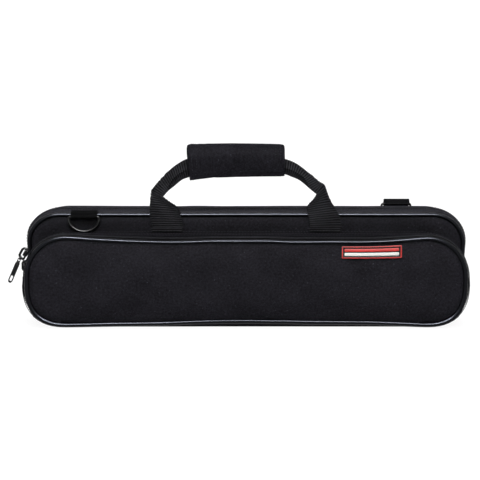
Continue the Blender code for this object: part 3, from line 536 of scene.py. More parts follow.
class Seam:
    """A rounded oblong seen from the front, walked clockwise from the left end of its underside."""

    def __init__(self, half_length, bottom, top, corner, swell, hang):
        self.across = half_length - corner
        self.heights = np.array((bottom + corner, top - corner, top - corner, bottom + corner))
        self.corner = corner
        self.swell = swell
        self.hang = hang
        arc = corner * math.pi / 2
        side = float(self.heights[1] - self.heights[0])
        self.legs = np.array((arc, side, arc, 2 * self.across, arc, side, arc, 2 * self.across))
        self.ends = np.cumsum(self.legs)
        self.length = float(self.ends[-1])
        self.zip_first = arc / 2
        self.zip_last = self.ends[5] + arc / 2

    def at(self, run, out, y):
        """Points at a run along the seam, moved out from it, at a depth y."""
        run = np.mod(np.asarray(run, float), self.length)
        out, y = np.broadcast_to(out, run.shape), np.broadcast_to(y, run.shape)
        leg = np.minimum(np.searchsorted(self.ends, run, side="right"), 7)
        along = (run - (self.ends - self.legs)[leg]) / self.legs[leg]
        turning = leg % 2 == 0
        number = leg // 2
        signs = np.array((-1.0, -1.0, 1.0, 1.0))
        straight = np.where(turning, 0.0, along)
        follow = (number + 1) % 4
        centre_x = signs[number] + (signs[follow] - signs[number]) * straight
        centre_x = centre_x * (self.across + self.swell(y))
        centre_z = self.heights[number] + (self.heights[follow] - self.heights[number]) * straight
        angle = np.radians(270 - 90 * number - 90 * np.where(turning, along, 1.0))
        x = centre_x + (self.corner + out) * np.cos(angle)
        z = centre_z + (self.corner + out) * np.sin(angle)
        x, z = self.hang(x, y, z)
        return np.stack([x, y, z], axis=-1)


def case_swell(y):
    """How far the ends of the main compartment swell, most at the zip."""
    share = clip01(1 - np.abs(y - PARTING_Y) / HALF_DEPTH)
    return END_SWELL * np.sin(share * math.pi / 2)


case_seam = Seam(CASE_HALF_LENGTH, 0.0, CASE_HEIGHT, CASE_CORNER, case_swell, case_hang)


def slack(run, y, depth, grain):
    """Small hollows and swells of loose cloth at places along a seam."""
    return depth * np.array([noise.noise(Vector((a / grain, b / grain, 7.3))) for a, b in zip(run, y)])


def one_stitch(radius=STITCH_RADIUS, length=STITCH_LENGTH, width=None):
    """One stitch, or another small rounded length, along X."""
    bpy.ops.mesh.primitive_uv_sphere_add(segments=6, ring_count=4, radius=1.0, rotation=(0, math.pi / 2, 0))
    bpy.ops.object.transform_apply(location=False, rotation=True, scale=False)
    stitch = bpy.context.object
    edit(stitch)
    bpy.ops.transform.resize(value=(length / 2, width / 2 if width else radius, radius))
    end_edit()
    return stitch


def repeat_along(name, pattern, spots, aheads, outs):
    """Copies a pattern, modelled along X with Z outwards, to many places, as one piece."""
    # A new sphere has its points and faces in another order each time, so they are sorted here.
    points = points_of(pattern)
    order = np.lexsort(np.round(points, 7).T)
    rank = np.argsort(order)
    shape = points[order][None, :, :, None]
    faces = sorted(tuple(int(rank[place]) for place in face.vertices) for face in pattern.data.polygons)
    aheads = aheads / np.linalg.norm(aheads, axis=1, keepdims=True)
    outs = outs - aheads * np.sum(outs * aheads, axis=1, keepdims=True)
    outs = outs / np.linalg.norm(outs, axis=1, keepdims=True)
    besides = np.cross(outs, aheads)
    ways = [way[:, None] for way in (aheads, besides, outs)]
    placed = spots[:, None] + shape[:, :, 0] * ways[0] + shape[:, :, 1] * ways[1] + shape[:, :, 2] * ways[2]
    mesh = bpy.data.meshes.new(name)
    firsts = range(0, len(spots) * shape.shape[1], shape.shape[1])
    all_faces = [tuple(first + place for place in face) for first in firsts for face in faces]
    mesh.from_pydata(placed.reshape(-1, 3).tolist(), [], all_faces)
    mesh.shade_smooth()
    bpy.data.objects.remove(pattern)
    return new_object(name, mesh)


def row_along(name, pattern, seam, first, last, pitch, out, y, lean=None):
    """Repeats a pattern along a seam. It stands outwards, or along lean where that is given."""
    runs = np.arange(first, last, pitch)
    spots = seam.at(runs, out, y)
    aheads = seam.at(runs + NEXT_POINT, out, y) - seam.at(runs - NEXT_POINT, out, y)
    outs = seam.at(runs, out + NEXT_POINT, y) - spots if lean is None else np.broadcast_to(lean, spots.shape)
    return repeat_along(name, pattern, spots, aheads, np.array(outs, float))


def sew(name, seam, first, last, out, y, body, lean=None, radius=STITCH_RADIUS):
    """A row of stitches along a seam."""
    row = row_along(name, one_stitch(radius), seam, first, last, STITCH_PITCH, out, y, lean)
    dress(row, thread_look, body, "webbing")


def lay_gusset(name, seam, width, y_at, sag, rest_below, inwards):
    """A band of cloth round a seam: hemmed at the zip, slack in the middle, drawn in at the panel."""
    band = cut_cloth(name, seam.length, width, SEAM_CELL, GUSSET_CELL_ACROSS)

    def place(run, across):
        y = y_at(across)
        hem = HEM_RISE * clip01((HEM_WIDTH - across) / HEM_FOLD)
        free = np.sin(clip01(across / width) * math.pi)
        loose = sag(np.mod(run, seam.length - 1e-6), y, free)
        resting = seam.at(run, 0.0, y)[:, 2] < rest_below
        return seam.at(run, np.where(resting, np.minimum(loose, 0.0), hem + loose) - inwards(across), y)

    shape_to(band, place)
    turn_outwards(band)
    finish_with(band, "SOLIDIFY", thickness=CLOTH_THICKNESS, offset=-1.0)
    smooth(band, CLOTH_SMOOTH_DEG)
    return band


# Bonded nylon sewing thread: twisted, slightly glossy, a shade lighter than the cloth.
thread_look, tree, shader, where = start_look("bonded_nylon_thread")
twist = noise_on(tree, where, 900.0, 2.0)
thread_colour = blend_colours(tree, twist, "#26262a", "#3e3e45")
finish_look(tree, shader, thread_colour, twist, 0.0001, 0.6, Roughness=0.5, Specular_IOR_Level=0.03)

gusset_width = GUSSET_END - GUSSET_START


def drawn_in(across):
    """How far the gusset is drawn in towards the panel's piping."""
    return GUSSET_DRAW * clip01(1 - (gusset_width - across) / GUSSET_DRAW_WIDTH)


for half, side, body in HALVES:
    band = lay_gusset(
        half + "_gusset_cloth", case_seam, gusset_width,
        y_at=lambda across: PARTING_Y + side * (GUSSET_START + across),
        sag=lambda run, y, free: (
            slack(run, y, GUSSET_SLACK * free, SLACK_GRAIN) + GUSSET_SLACK * GUSSET_SLACK_LEVEL * free
        ),
        rest_below=GUSSET_RESTS_BELOW, inwards=drawn_in,
    )
    dress(band, nylon_look, body, "nylon", half + "_gusset")
    sew(
        half + "_gusset_stitches", case_seam, case_seam.zip_first, case_seam.zip_last,
        HEM_RISE + STITCH_RADIUS * 0.4, PARTING_Y + side * (GUSSET_START + HEM_WIDTH * 0.7), body,
    )

# Pipings: a strip of glossy black vinyl folded round a cord and sewn into each panel's seam. It
# wanders a little along the seam and is pinched by the stitches, as hand-fed piping is.
PIPING_RADIUS = 0.0021
CASE_PIPING_INSET = 0.0025
PIPING_SIDES = 16
PIPING_CELL = 0.0024
PIPING_WANDER = 0.00018
PIPING_WANDER_GRAIN = 0.05
PIPING_PINCH_SHARE = 0.035
PIPING_PINCH_GRAIN = 0.011
PIPING_JOIN_FADE = 0.03


def noise_along(run, grain, row, layer):
    """Smooth noise of -1 to 1 at each place along a seam."""
    return np.array([noise.noise(Vector((place / grain, row, layer))) for place in run])


def bend_piping(name, seam, inset, y, radius, wander):
    """A straight strip of vinyl rolled into a tube and bent all round a seam."""
    round_about = math.tau * radius
    strip = cut_cloth(name, seam.length, round_about, PIPING_CELL, round_about / PIPING_SIDES)

    def tube_place(run, across):
        turn = across / radius
        run = np.mod(run, seam.length - 1e-6)
        fade = clip01(np.minimum(run, seam.length - run) / PIPING_JOIN_FADE)
        swing = noise_along(run, PIPING_WANDER_GRAIN, 2.7, y * 900) * wander * fade
        pinch = noise_along(run, PIPING_PINCH_GRAIN, 5.1, 0.3)
        thick = radius * (1 + PIPING_PINCH_SHARE * fade * pinch)
        return seam.at(run, -inset + swing + thick * np.cos(turn), y + thick * np.sin(turn))

    shape_to(strip, tube_place)
    turn_outwards(strip)
    smooth(strip)
    return strip


# Plasticised vinyl piping, extruded: glossy, smooth skin with a faint grain and dull rubbed patches.
vinyl_look, tree, shader, where = start_look("glossy_vinyl_piping")
rubbed = noise_on(tree, where, 60.0, 4.0)
finish_look(
    tree, shader, blend_colours(tree, rubbed, "#060607", "#0f0f11"), noise_on(tree, where, 700.0, 2.0),
    0.00005, 0.25, Roughness=spread_of(tree, rubbed, to_low=0.18, to_high=0.32), IOR=1.53,
    Specular_IOR_Level=0.07, Specular_Tint=linear("#e6ecff"),
)

for half, side, body in HALVES:
    seam_y = PARTING_Y + side * HALF_DEPTH
    piping = bend_piping(
        half + "_piping_vinyl", case_seam, CASE_PIPING_INSET, seam_y, PIPING_RADIUS, PIPING_WANDER
    )
    dress(piping, vinyl_look, body, "piping", half + "_piping")

# Main zip: a woven tape along each edge of the parting, with a nylon coil sewn to it. It runs from
# one end of the hinge over the top to the other. The coils' loops mesh along the parting.
TAPE_WIDTH = 0.0078
TAPE_DEPTH = 0.0004
TAPE_THICKNESS = 0.0006
TAPE_TAIL = 0.011
TAPE_CELL = (0.004, 0.0013)
COIL_PITCH = 0.0017
COIL_WIDTH = 0.0026
COIL_RADIUS = 0.00045
COIL_LOOP_SHARE = 0.92
COIL_CORD = 0.00048
EDGE_GAP = 0.00015

# Zip tape: close twill of spun polyester, duller than the nylon.
tape_look = woven_look("twill_zip_tape", "#070708", "#131316", "#1e1e21", 0.0010, 0.00012, 0.82)

# Zip coil: drawn nylon, wound hot, smooth and semi-gloss.
coil_look, tree, shader, where = start_look("drawn_nylon_coil")
drawn = noise_on(tree, where, 240.0, 2.0)
coil_colour = blend_colours(tree, drawn, "#060607", "#131315")
finish_look(
    tree, shader, coil_colour, drawn, 0.00004, 0.3, Roughness=0.48, IOR=1.53, Specular_IOR_Level=0.02
)


def lay_zip(name, seam, y, way, width, depth_at, body, node, tail):
    """A zip tape and its coil along one side of a zip. Way is the side, +Y or -Y, that the tape is on."""
    first, last = seam.zip_first, seam.zip_last
    tape = cut_cloth(name + "_tape", last - first + 2 * tail, width, *TAPE_CELL)

    def tape_place(run, across):
        depth = y + way * (EDGE_GAP + across)
        return seam.at(first - tail + run, depth_at(depth) - TAPE_DEPTH, depth)

    shape_to(tape, tape_place)
    face = tape.data.polygons[0]
    if face.normal.z * (face.center.z - CASE_HEIGHT / 2) < 0:
        flip(tape)
    finish_with(tape, "SOLIDIFY", thickness=TAPE_THICKNESS, offset=-1.0)
    smooth(tape, CLOTH_SMOOTH_DEG)
    dress(tape, tape_look, body, "zip_tape", node)
    # The two coils are half a pitch apart, so that they mesh.
    first += COIL_PITCH / 2 if way > 0 else 0.0
    loop = one_stitch(COIL_RADIUS, 2 * COIL_RADIUS * COIL_LOOP_SHARE, COIL_WIDTH)
    cord = one_stitch(COIL_CORD * 0.6, COIL_PITCH * 1.15)
    for ending, pattern, look, start, across_share, rise_share in (
        ("_coil", loop, coil_look, first, 0.5, 0.5),
        ("_coil_stitches", cord, thread_look, first + COIL_PITCH / 2, 0.62, 0.95),
    ):
        seat = y + way * (EDGE_GAP + COIL_WIDTH * across_share)
        out = float(depth_at(seat)) + COIL_RADIUS * rise_share
        row = row_along(name + ending, pattern, seam, start, last, COIL_PITCH, out, seat)
        dress(row, look, body, "zip_tape")


for half, way, body in HALVES:
    lay_zip(
        half + "_zip", case_seam, PARTING_Y, way, TAPE_WIDTH, np.zeros_like, body, half + "_main_zip_tape",
        TAPE_TAIL,
    )

# Hinge cloth: one strip of nylon under the case, sewn to both gussets, along the parting where the lid
# opens. A row of stitches holds it on each side.
HINGE_WIDTH = 0.0158
HINGE_REACH = 0.0105
HINGE_THICKNESS = 0.0009
HINGE_LIFT = 0.0001
HINGE_CELL = (0.006, 0.0008)
HINGE_STITCH_Y = 0.0063
HINGE_STITCH_INSET = 0.003
hinge_first = case_seam.ends[6] - HINGE_REACH
hinge_last = case_seam.length + HINGE_REACH
hinge = lay_strip(
    "hinge_cloth", (hinge_last - hinge_first, HINGE_WIDTH), HINGE_CELL,
    lambda run, across: case_seam.at(
        hinge_first + run, -HINGE_THICKNESS / 2 - HINGE_LIFT, PARTING_Y + across - HINGE_WIDTH / 2
    ),
    HINGE_THICKNESS, 0.0, CLOTH_SMOOTH_DEG,
)
hinge.data.materials.append(nylon_look)
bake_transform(hinge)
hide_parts("rear_hinge_strip", "lid_hinge_strip")
for half, side, body in HALVES:
    sew(
        half + "_hinge_stitches", case_seam, hinge_first + HINGE_STITCH_INSET,
        hinge_last - HINGE_STITCH_INSET, 0.0, PARTING_Y + side * HINGE_STITCH_Y, body,
        radius=STITCH_RADIUS * 0.7,
    )

# D-ring tabs and rings: a loop of 25 mm webbing sewn into the seam at the top of each half, with a
# ring of black enamelled steel wire in it. The front tab lies forwards, and the rear one backwards.
TAB_WIDTH = 0.0252
TAB_THICKNESS = 0.001
TAB_RIB = 0.0009
TAB_RIB_RELIEF = 0.00007
TAB_CELL_ACROSS = 0.0014
TAB_GAP = 0.0003
TAB_SEAT = 0.0002
TAB_BAR_ROOM = 0.00005
TAB_SEWN_UNDER = 0.0035
WIRE_RADIUS = 0.0012
RING_HALF_WIDTH = 0.0145
RING_DROP = 0.014
RING_CORNER = 0.0022
RING_BOW_SWELL = 0.0003
FRONT_BAR = (-0.1535, -0.0536, 0.1006)
REAR_BAR = (0.152, 0.0213, 0.1052)
REAR_CREST_RISE = 0.0048


def runs_of(line):
    """How far along a line each of its points lies."""
    return np.concatenate([[0.0], np.cumsum(np.linalg.norm(np.diff(line, axis=0), axis=1))])


def smooth_line(points, spacing):
    """Evenly spaced points on a smooth curve through the given ones, and the way ahead at each."""
    points = np.asarray(points, float)
    padded = np.concatenate([2 * points[:1] - points[1:2], points, 2 * points[-1:] - points[-2:-1]])
    fine = []
    for place in range(1, len(padded) - 2):
        before, start, end, after = padded[place - 1:place + 3]
        for t in np.linspace(0.0, 1.0, 24, endpoint=False):
            fine.append(
                start + (end - before) * t / 2 + (2 * before - 5 * start + 4 * end - after) * t**2 / 2
                + (3 * start - before - 3 * end + after) * t**3 / 2
            )
    fine = np.array(fine + [points[-1]])
    runs = runs_of(fine)
    even = np.linspace(0.0, runs[-1], max(2, round(runs[-1] / spacing)) + 1)
    line = np.stack([np.interp(even, runs, fine[:, axis]) for axis in range(fine.shape[1])], axis=1)
    ahead = np.gradient(line, axis=0)
    return line, ahead / np.linalg.norm(ahead, axis=1, keepdims=True), even


def webbing_look(name, dark, light, yarn, rib):
    """Ribbed webbing on its flat UV map: X runs along the webbing, with painted shade in the grooves between
    its ribs.
    """
    look, tree, shader, flat = start_look(name, "UV")
    ways = add_node(tree, "ShaderNodeSeparateXYZ", Vector=flat)
    yarns = spread_of(tree, wave_of(tree, ways.outputs["Y"], yarn), -1.0)
    grain = mix_of(tree, 0.45, yarns, noise_on(tree, flat, 1400.0, 2.0))
    shade = spread_of(tree, mix_of(tree, 0.4, grain, noise_on(tree, flat, 55.0, 3.0)), 0.25, 0.75)
    # Darker in each groove between the ribs: painted shade.
    crest = spread_of(tree, wave_of(tree, ways.outputs["X"], rib), -0.4)
    finish_look(
        tree, shader, blend_colours(tree, maths(tree, "MULTIPLY", shade, crest), dark, light), grain,
        0.00012, 0.6, Roughness=0.62, IOR=1.49, Specular_IOR_Level=0.006, Sheen_Weight=0.002,
        Sheen_Roughness=0.4,
    )
    return look


# Grosgrain webbing, woven of spun polypropylene: fine ribs, slightly waxy.
grosgrain_look = webbing_look("grosgrain_webbing", "#050506", "#1b1b1e", 0.0008, TAB_RIB)

# Enamelled steel wire: smooth black enamel with a soft gloss, rubbed in small patches.
enamel_look, tree, shader, where = start_look("black_enamelled_metal")
scuffs = noise_on(tree, where, 520.0, 5.0, 0.7)
worn = spread_of(tree, scuffs, 0.60, 0.72)
finish_look(
    tree, shader, blend_colours(tree, worn, "#0b0b0c", "#3c3c3f"), scuffs, 0.00004, 0.3,
    Roughness=spread_of(tree, scuffs, to_low=0.2, to_high=0.42), IOR=1.55, Specular_IOR_Level=0.07,
)


def loop_tab(name, bar, route):
    """A width of webbing that follows a route seen from the side, centred on the ring's bar."""
    line, ahead, runs = smooth_line(route, TAB_RIB / 4)

    def tab_place(run, across):
        rib = TAB_RIB_RELIEF * np.sin(run * math.tau / TAB_RIB)
        y = np.interp(run, runs, line[:, 0]) - np.interp(run, runs, ahead[:, 1]) * rib
        z = np.interp(run, runs, line[:, 1]) + np.interp(run, runs, ahead[:, 0]) * rib
        return np.stack([bar[0] + across - TAB_WIDTH / 2, y, z], axis=1)

    size, cell = (float(runs[-1]), TAB_WIDTH), (TAB_RIB / 4, TAB_CELL_ACROSS)
    return lay_strip(name, size, cell, tab_place, TAB_THICKNESS)


def round_bar(bar, start_deg, end_deg):
    """The webbing's middle line where it turns round the bar."""
    radius = WIRE_RADIUS + TAB_GAP + TAB_THICKNESS / 2 + TAB_BAR_ROOM
    turns = np.radians(np.linspace(start_deg, end_deg, 9))
    return [(bar[1] + radius * math.cos(turn), bar[2] + radius * math.sin(turn)) for turn in turns]


def swell_past(piece, strength, share):
    """Swells a piece outwards by a strength, and by a share of it at each point."""
    slim = points_of(piece)
    finish_with(piece, "DISPLACE", strength=strength, mid_level=0.0)
    move_points(piece, slim + (points_of(piece) - slim) * share[:, None])


def bent_ring(name, bar):
    """A D of round wire, closed on itself, that hangs from its straight bar and is fuller in its bow."""
    inner = RING_HALF_WIDTH - RING_CORNER
    corners = [
        (inner + RING_CORNER * math.sin(turn), -RING_CORNER * (1 - math.cos(turn)))
        for turn in np.linspace(0.0, math.pi / 2, 7)
    ]
    bow = [
        (RING_HALF_WIDTH * math.cos(turn), -RING_CORNER - (RING_DROP - RING_CORNER) * math.sin(turn))
        for turn in np.linspace(0.0, math.pi, 41)[1:-1]
    ]
    route = corners + bow + [(-x, z) for x, z in corners[::-1]]
    curve = bpy.data.curves.new(name, "CURVE")
    curve.dimensions = "3D"
    curve.bevel_depth = WIRE_RADIUS
    curve.bevel_resolution = 4
    curve.use_fill_caps = True
    spline = curve.splines.new("POLY")
    spline.points.add(len(route) - 1)
    for point, (x, z) in zip(spline.points, route):
        point.co = (bar[0] + x, bar[1], bar[2] + z, 1.0)
    spline.use_cyclic_u = True
    only(new_object(name, curve))
    bpy.ops.object.convert(target="MESH")
    ring = bpy.context.object
    smooth(ring, 50)
    swell_past(ring, RING_BOW_SWELL, clip01((bar[2] - points_of(ring)[:, 2]) / RING_CORNER - 1))
    return ring


lift = TAB_GAP + TAB_THICKNESS / 2
over_z = CASE_HEIGHT + lift + TAB_SEAT
front_seam_y = PARTING_Y - HALF_DEPTH
rear_seam_y = PARTING_Y + HALF_DEPTH
front_route = [
    (front_seam_y + PIPING_RADIUS + TAB_SEWN_UNDER, over_z),
    (front_seam_y, over_z),
    (front_seam_y - PIPING_RADIUS * 0.8, over_z - PIPING_RADIUS * 0.35),
    (front_seam_y - PIPING_RADIUS - lift, over_z - PIPING_RADIUS * 1.2),
    *round_bar(FRONT_BAR, 138, 372),
]
crest = REAR_BAR[2] + REAR_CREST_RISE
rear_route = [
    (rear_seam_y - PIPING_RADIUS - TAB_SEWN_UNDER, over_z),
    (rear_seam_y - PIPING_RADIUS * 1.3, over_z + 0.0011),
    (rear_seam_y - PIPING_RADIUS * 0.5, over_z + 0.0032),
    (rear_seam_y + PIPING_RADIUS * 0.7, crest - 0.0002),
    (rear_seam_y + PIPING_RADIUS * 2.1, crest - 0.0007),
    *round_bar(REAR_BAR, 48, -170),
]
for name, bar, route, body, ring_body in (
    ("front_d_ring", FRONT_BAR, front_route, "lid", "front_ring"),
    ("rear_d_ring", REAR_BAR, rear_route, "rear_half", "rear_ring"),
):
    dress(loop_tab(name + "_loop", bar, route), grosgrain_look, body, "webbing", name + "_tab")
    dress(bent_ring(name + "_wire", bar), enamel_look, ring_body, "black_metal", name)

# Pocket sides: a band of nylon sewn to the lid's front, drawn in where it meets it, with the tape
# of the pocket's zip on its front edge. A plain strip closes the underside, where the flap folds.
POCKET_HALF_LENGTH = 0.2052
POCKET_BOTTOM = 0.0006
POCKET_TOP = 0.0865
POCKET_CORNER = 0.0392
LID_FACE_Y = -0.0516
POCKET_BACK_Y = -0.0519
POCKET_SEAM_Y = -0.0835
POCKET_FRONT_Y = -0.0815
POCKET_ZIP_Y = -0.075
POCKET_TAPE_WIDTH = 0.006
POCKET_DRAW = 0.0015
POCKET_END_SWELL = 0.0035
POCKET_LIFT_FROM_Y = -0.0770
POCKET_LIFT_REACH = 0.009
POCKET_FULLNESS = 0.0030
POCKET_BULGE = 0.0016
POCKET_SPREAD_RIGHT = (0.038, 0.060)
POCKET_SPREAD_LEFT = (0.0365, 0.0490)
POCKET_SLACK = 0.0006
POCKET_SLACK_GRAIN = 0.02
POCKET_SEAM_GAP = 0.0003
POCKET_SHAPE_STEP = 0.002
POCKET_RESTS_BELOW = 0.006
FLANGE_STITCH_INSET = 0.0004
REAR_STITCH_FORWARD = 0.0032
BASE_CELL_ACROSS = 0.0022
BASE_END_GAP = 0.0004
# At each place along the case: how far the top's front edge sags, and the bottom's front edge rises.
POCKET_SHAPE = (
    (-0.2052, 0.0, 0.0), (-0.1625, 0.0009, 0.0005), (-0.1440, 0.0021, 0.0011), (-0.1256, 0.0031, 0.0017),
    (-0.1070, 0.0040, 0.0020), (-0.0887, 0.0047, 0.0024), (-0.0702, 0.0051, 0.0029),
    (-0.0517, 0.0049, 0.0039), (-0.0333, 0.0042, 0.0047), (-0.0148, 0.0041, 0.0051),
    (0.0036, 0.0041, 0.0052), (0.0221, 0.0042, 0.0047), (0.0406, 0.0050, 0.0046), (0.0590, 0.0050, 0.0041),
    (0.0775, 0.0049, 0.0039), (0.0959, 0.0050, 0.0037), (0.1144, 0.0049, 0.0036), (0.1329, 0.0041, 0.0028),
    (0.1513, 0.0026, 0.0017), (0.1698, 0.0012, 0.0006), (0.2052, 0.0, 0.0),
)
pocket_shape = smooth_line(POCKET_SHAPE, POCKET_SHAPE_STEP)[0]


def pocket_forward(y):
    """How far forward a depth is in the pocket, from 0 at the lid to 1 at its front seam."""
    return clip01((POCKET_BACK_Y - y) / (POCKET_BACK_Y - POCKET_SEAM_Y))


def pocket_swell(y):
    """How far the ends of the pocket swell, most at the middle of its depth."""
    return POCKET_END_SWELL * np.sin(math.pi * pocket_forward(y))


def pocket_hang(x, y, z):
    """The soft pocket out of true: its front edge sags on top and rises below, and its ends are full."""
    middle = (POCKET_TOP + POCKET_BOTTOM) / 2
    forward = pocket_forward(y)
    raised = clip01((z - middle) / (POCKET_TOP - middle))
    lowered = clip01((middle - z) / (middle - POCKET_BOTTOM))
    near = clip01((POCKET_LIFT_FROM_Y - y) / POCKET_LIFT_REACH)
    sag = np.interp(x, pocket_shape[:, 0], pocket_shape[:, 1]) * forward * raised**2
    rise = np.interp(x, pocket_shape[:, 0], pocket_shape[:, 2]) * near * lowered**2
    over = np.maximum(np.abs(x) - (POCKET_HALF_LENGTH - POCKET_CORNER), 0.0)
    under = np.maximum(POCKET_BOTTOM + POCKET_CORNER - z, 0.0)
    reach = np.maximum(np.hypot(over, under), 1e-6)
    full = POCKET_FULLNESS * (2 * over * under / POCKET_CORNER / reach) ** 2
    left, right = (np.interp(z, places, (1.0, 0.0)) for places in (POCKET_SPREAD_LEFT, POCKET_SPREAD_RIGHT))
    outer = clip01(over / POCKET_CORNER)
    spread = np.where(x < 0, left, right) * outer * POCKET_BULGE * np.sin(math.pi * forward)
    return x + np.sign(x) * (full * over / reach + spread), z - sag + rise - full * under / reach


def pocket_depth(y):
    """How far the pocket's cloth is drawn in towards the lid."""
    share = (np.asarray(y, float) - POCKET_ZIP_Y) / (POCKET_BACK_Y - POCKET_ZIP_Y)
    return -POCKET_DRAW * clip01(share)


pocket_seam = Seam(
    POCKET_HALF_LENGTH, POCKET_BOTTOM, POCKET_TOP, POCKET_CORNER, pocket_swell, pocket_hang
)
pocket_tape_end = POCKET_ZIP_Y + POCKET_TAPE_WIDTH
side_start = pocket_tape_end + POCKET_SEAM_GAP
side_width = POCKET_BACK_Y - side_start
band = lay_gusset(
    "pocket_gusset_cloth", pocket_seam, side_width,
    y_at=lambda across: side_start + across,
    sag=lambda run, y, free: slack(run, y, POCKET_SLACK * free, POCKET_SLACK_GRAIN),
    rest_below=POCKET_RESTS_BELOW,
    inwards=lambda across: -pocket_depth(side_start + across),
)

# Pocket side nylon: a darker copy of the panels' plain weave, a little rougher. The extra darkness is
# painted shade, standing for the shade on the pocket's top.
side_look_painted_shade = woven_look(
    "woven_side_nylon_painted_shade", "#050507", "#201f24", "#2d2d33", THREAD_PITCH, THREAD_RELIEF, 0.78
)
dress(band, side_look_painted_shade, "lid", "nylon", "pocket_gusset")
for name, out, depth, lean in (
    ("pocket_flange_stitches", -FLANGE_STITCH_INSET, LID_FACE_Y - STITCH_RADIUS * 0.8, (0.0, -1.0, 0.0)),
    ("pocket_gusset_rear_stitches", 0.0004 - POCKET_DRAW, POCKET_BACK_Y - REAR_STITCH_FORWARD, None),
    ("pocket_gusset_front_stitches", HEM_RISE - 0.0001, pocket_tape_end + HEM_WIDTH * 0.75, None),
):
    first, last = pocket_seam.zip_first * 0.8, pocket_seam.zip_last + pocket_seam.zip_first * 0.2
    sew(name, pocket_seam, first, last, out, depth, "lid", lean)
for name, way, width, body, node in (
    ("pocket_rear_zip", 1, POCKET_TAPE_WIDTH, "lid", "pocket_rear_zip_tape"),
    ("pocket_front_zip", -1, POCKET_ZIP_Y - POCKET_FRONT_Y, "pocket_flap", "pocket_front_zip_tape"),
):
    lay_zip(name, pocket_seam, POCKET_ZIP_Y, way, width - 2 * EDGE_GAP, pocket_depth, body, node, 0.0)

base_width = pocket_tape_end - POCKET_FRONT_Y
base_first = pocket_seam.zip_last + BASE_END_GAP
base_last = pocket_seam.length + pocket_seam.zip_first - BASE_END_GAP
strip = lay_strip(
    "pocket_base_cloth", (base_last - base_first, base_width), (SEAM_CELL, BASE_CELL_ACROSS),
    lambda run, across: pocket_seam.at(
        base_first + run, pocket_depth(POCKET_FRONT_Y + across), POCKET_FRONT_Y + across
    ),
    CLOTH_THICKNESS, 1.0, CLOTH_SMOOTH_DEG,
)
strip.data.materials.append(nylon_look)
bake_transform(strip)
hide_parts("pocket_base_strip")

# Pocket front: a nylon panel over thin foam, cut as a rounded oblong, crowned, and piped all round.
# The foam lifts it in a soft shoulder inside the piping, and its top droops with the pocket.
POCKET_PANEL_INSET = 0.0032
POCKET_PANEL_CELL = 0.0034
POCKET_CROWN = 0.0028
POCKET_SHOULDERS = (0.0, 0.0038, 0.0108, 0.022, 0.034)
POCKET_SHOULDER_SHARES = (0.0, 0.45, 0.75, 0.93, 1.0)
POCKET_REACH = 0.0010
POCKET_PRESSURE = 0.8
POCKET_SEWN_WIDTH = 0.0012
POCKET_PIPING_INSET = 0.0015
POCKET_PIPING_RADIUS = 0.0022
POCKET_PIPING_WANDER = 0.0003


def pocket_rise(inside):
    """How far the panel stands forward at a distance inside its rim."""
    return POCKET_CROWN * np.interp(inside, POCKET_SHOULDERS, POCKET_SHOULDER_SHARES)


panel, inside = cut_panel(
    "pocket_panel_cloth", POCKET_HALF_LENGTH - POCKET_PANEL_INSET, POCKET_BOTTOM + POCKET_PANEL_INSET,
    POCKET_TOP - POCKET_PANEL_INSET, POCKET_CORNER - POCKET_PANEL_INSET, POCKET_PANEL_CELL,
)
lay_panel(panel, inside, POCKET_SEAM_Y, -1, pocket_rise(inside), pocket_hang)
finish_with(panel, "SMOOTH", factor=0.4, iterations=2)
fill_out(panel, POCKET_PRESSURE, POCKET_REACH, np.flatnonzero(inside < POCKET_SEWN_WIDTH), shrink=-0.006)
finish_panel(panel, -1, "pocket_flap", "pocket_front_panel")
piping = bend_piping(
    "pocket_piping_vinyl", pocket_seam, POCKET_PIPING_INSET, POCKET_SEAM_Y, POCKET_PIPING_RADIUS,
    POCKET_PIPING_WANDER,
)
dress(piping, vinyl_look, "pocket_flap", "piping", "pocket_piping")

# Label patch: a small moulded rubber plate sewn on the pocket, plain, with one red and one white
# stripe moulded on it. It stands a little proud of the cloth, and its raised rim is filled with red.
PATCH_SIZE = (0.0555, 0.0135)
PATCH_CENTRE = (0.1158, 0.0740)
PATCH_THICKNESS = 0.0013
PATCH_LIFT = 0.0003
PATCH_CORNER = 0.0011
PATCH_RIM = 0.0011
PATCH_RIM_RISE = 0.00035
PATCH_RIM_SLOPES = (0.00015, 0.0002)
PATCH_RIM_FILLED = 0.9
PATCH_EDGE_ROUND = 0.00018
PATCH_SLICES = 14
STRIPE_MARGIN = 0.0027
STRIPE_HEIGHT = 0.0032
STRIPE_CORNER = 0.0007
STRIPE_RISE = 0.00045
STRIPE_SUNK = 0.0002
STRIPES = (("red", 0.0022, "#a82823", "#d2322d"), ("white", -0.0022, "#dddcd6", "#e9e8e3"))


def moulded_look(name, dark, light, roughness=0.45):
    """Moulded soft vinyl: an even colour with faint mottling and a fine spark-eroded grain."""
    look, tree, shader, where = start_look(name)
    mottle = noise_on(tree, where, 180.0, 4.0)
    finish_look(
        tree, shader, blend_colours(tree, mottle, dark, light), noise_on(tree, where, 1500.0, 2.0), 0.00005,
        0.4, Roughness=spread_of(tree, mottle, to_low=roughness - 0.06, to_high=roughness + 0.06),
        IOR=1.5, Specular_IOR_Level=0.05,
    )
    return look


def lay_on_pocket(piece, up, lift):
    """Lays a flat plate, modelled in X and Z with its back at y = 0, on the pocket's crowned front."""
    points = points_of(piece)
    x = points[:, 0] + PATCH_CENTRE[0]
    z = points[:, 2] + up + PATCH_CENTRE[1]
    inside = np.minimum(POCKET_TOP - POCKET_PIPING_INSET * 2 - z, POCKET_SHOULDERS[-1])
    y = POCKET_SEAM_Y - PANEL_THICKNESS / 2 - pocket_rise(inside)
    x, z = pocket_hang(x, y, z)
    move_points(piece, np.stack([x, y - lift + points[:, 1], z], axis=1))
    smooth(piece, 35)


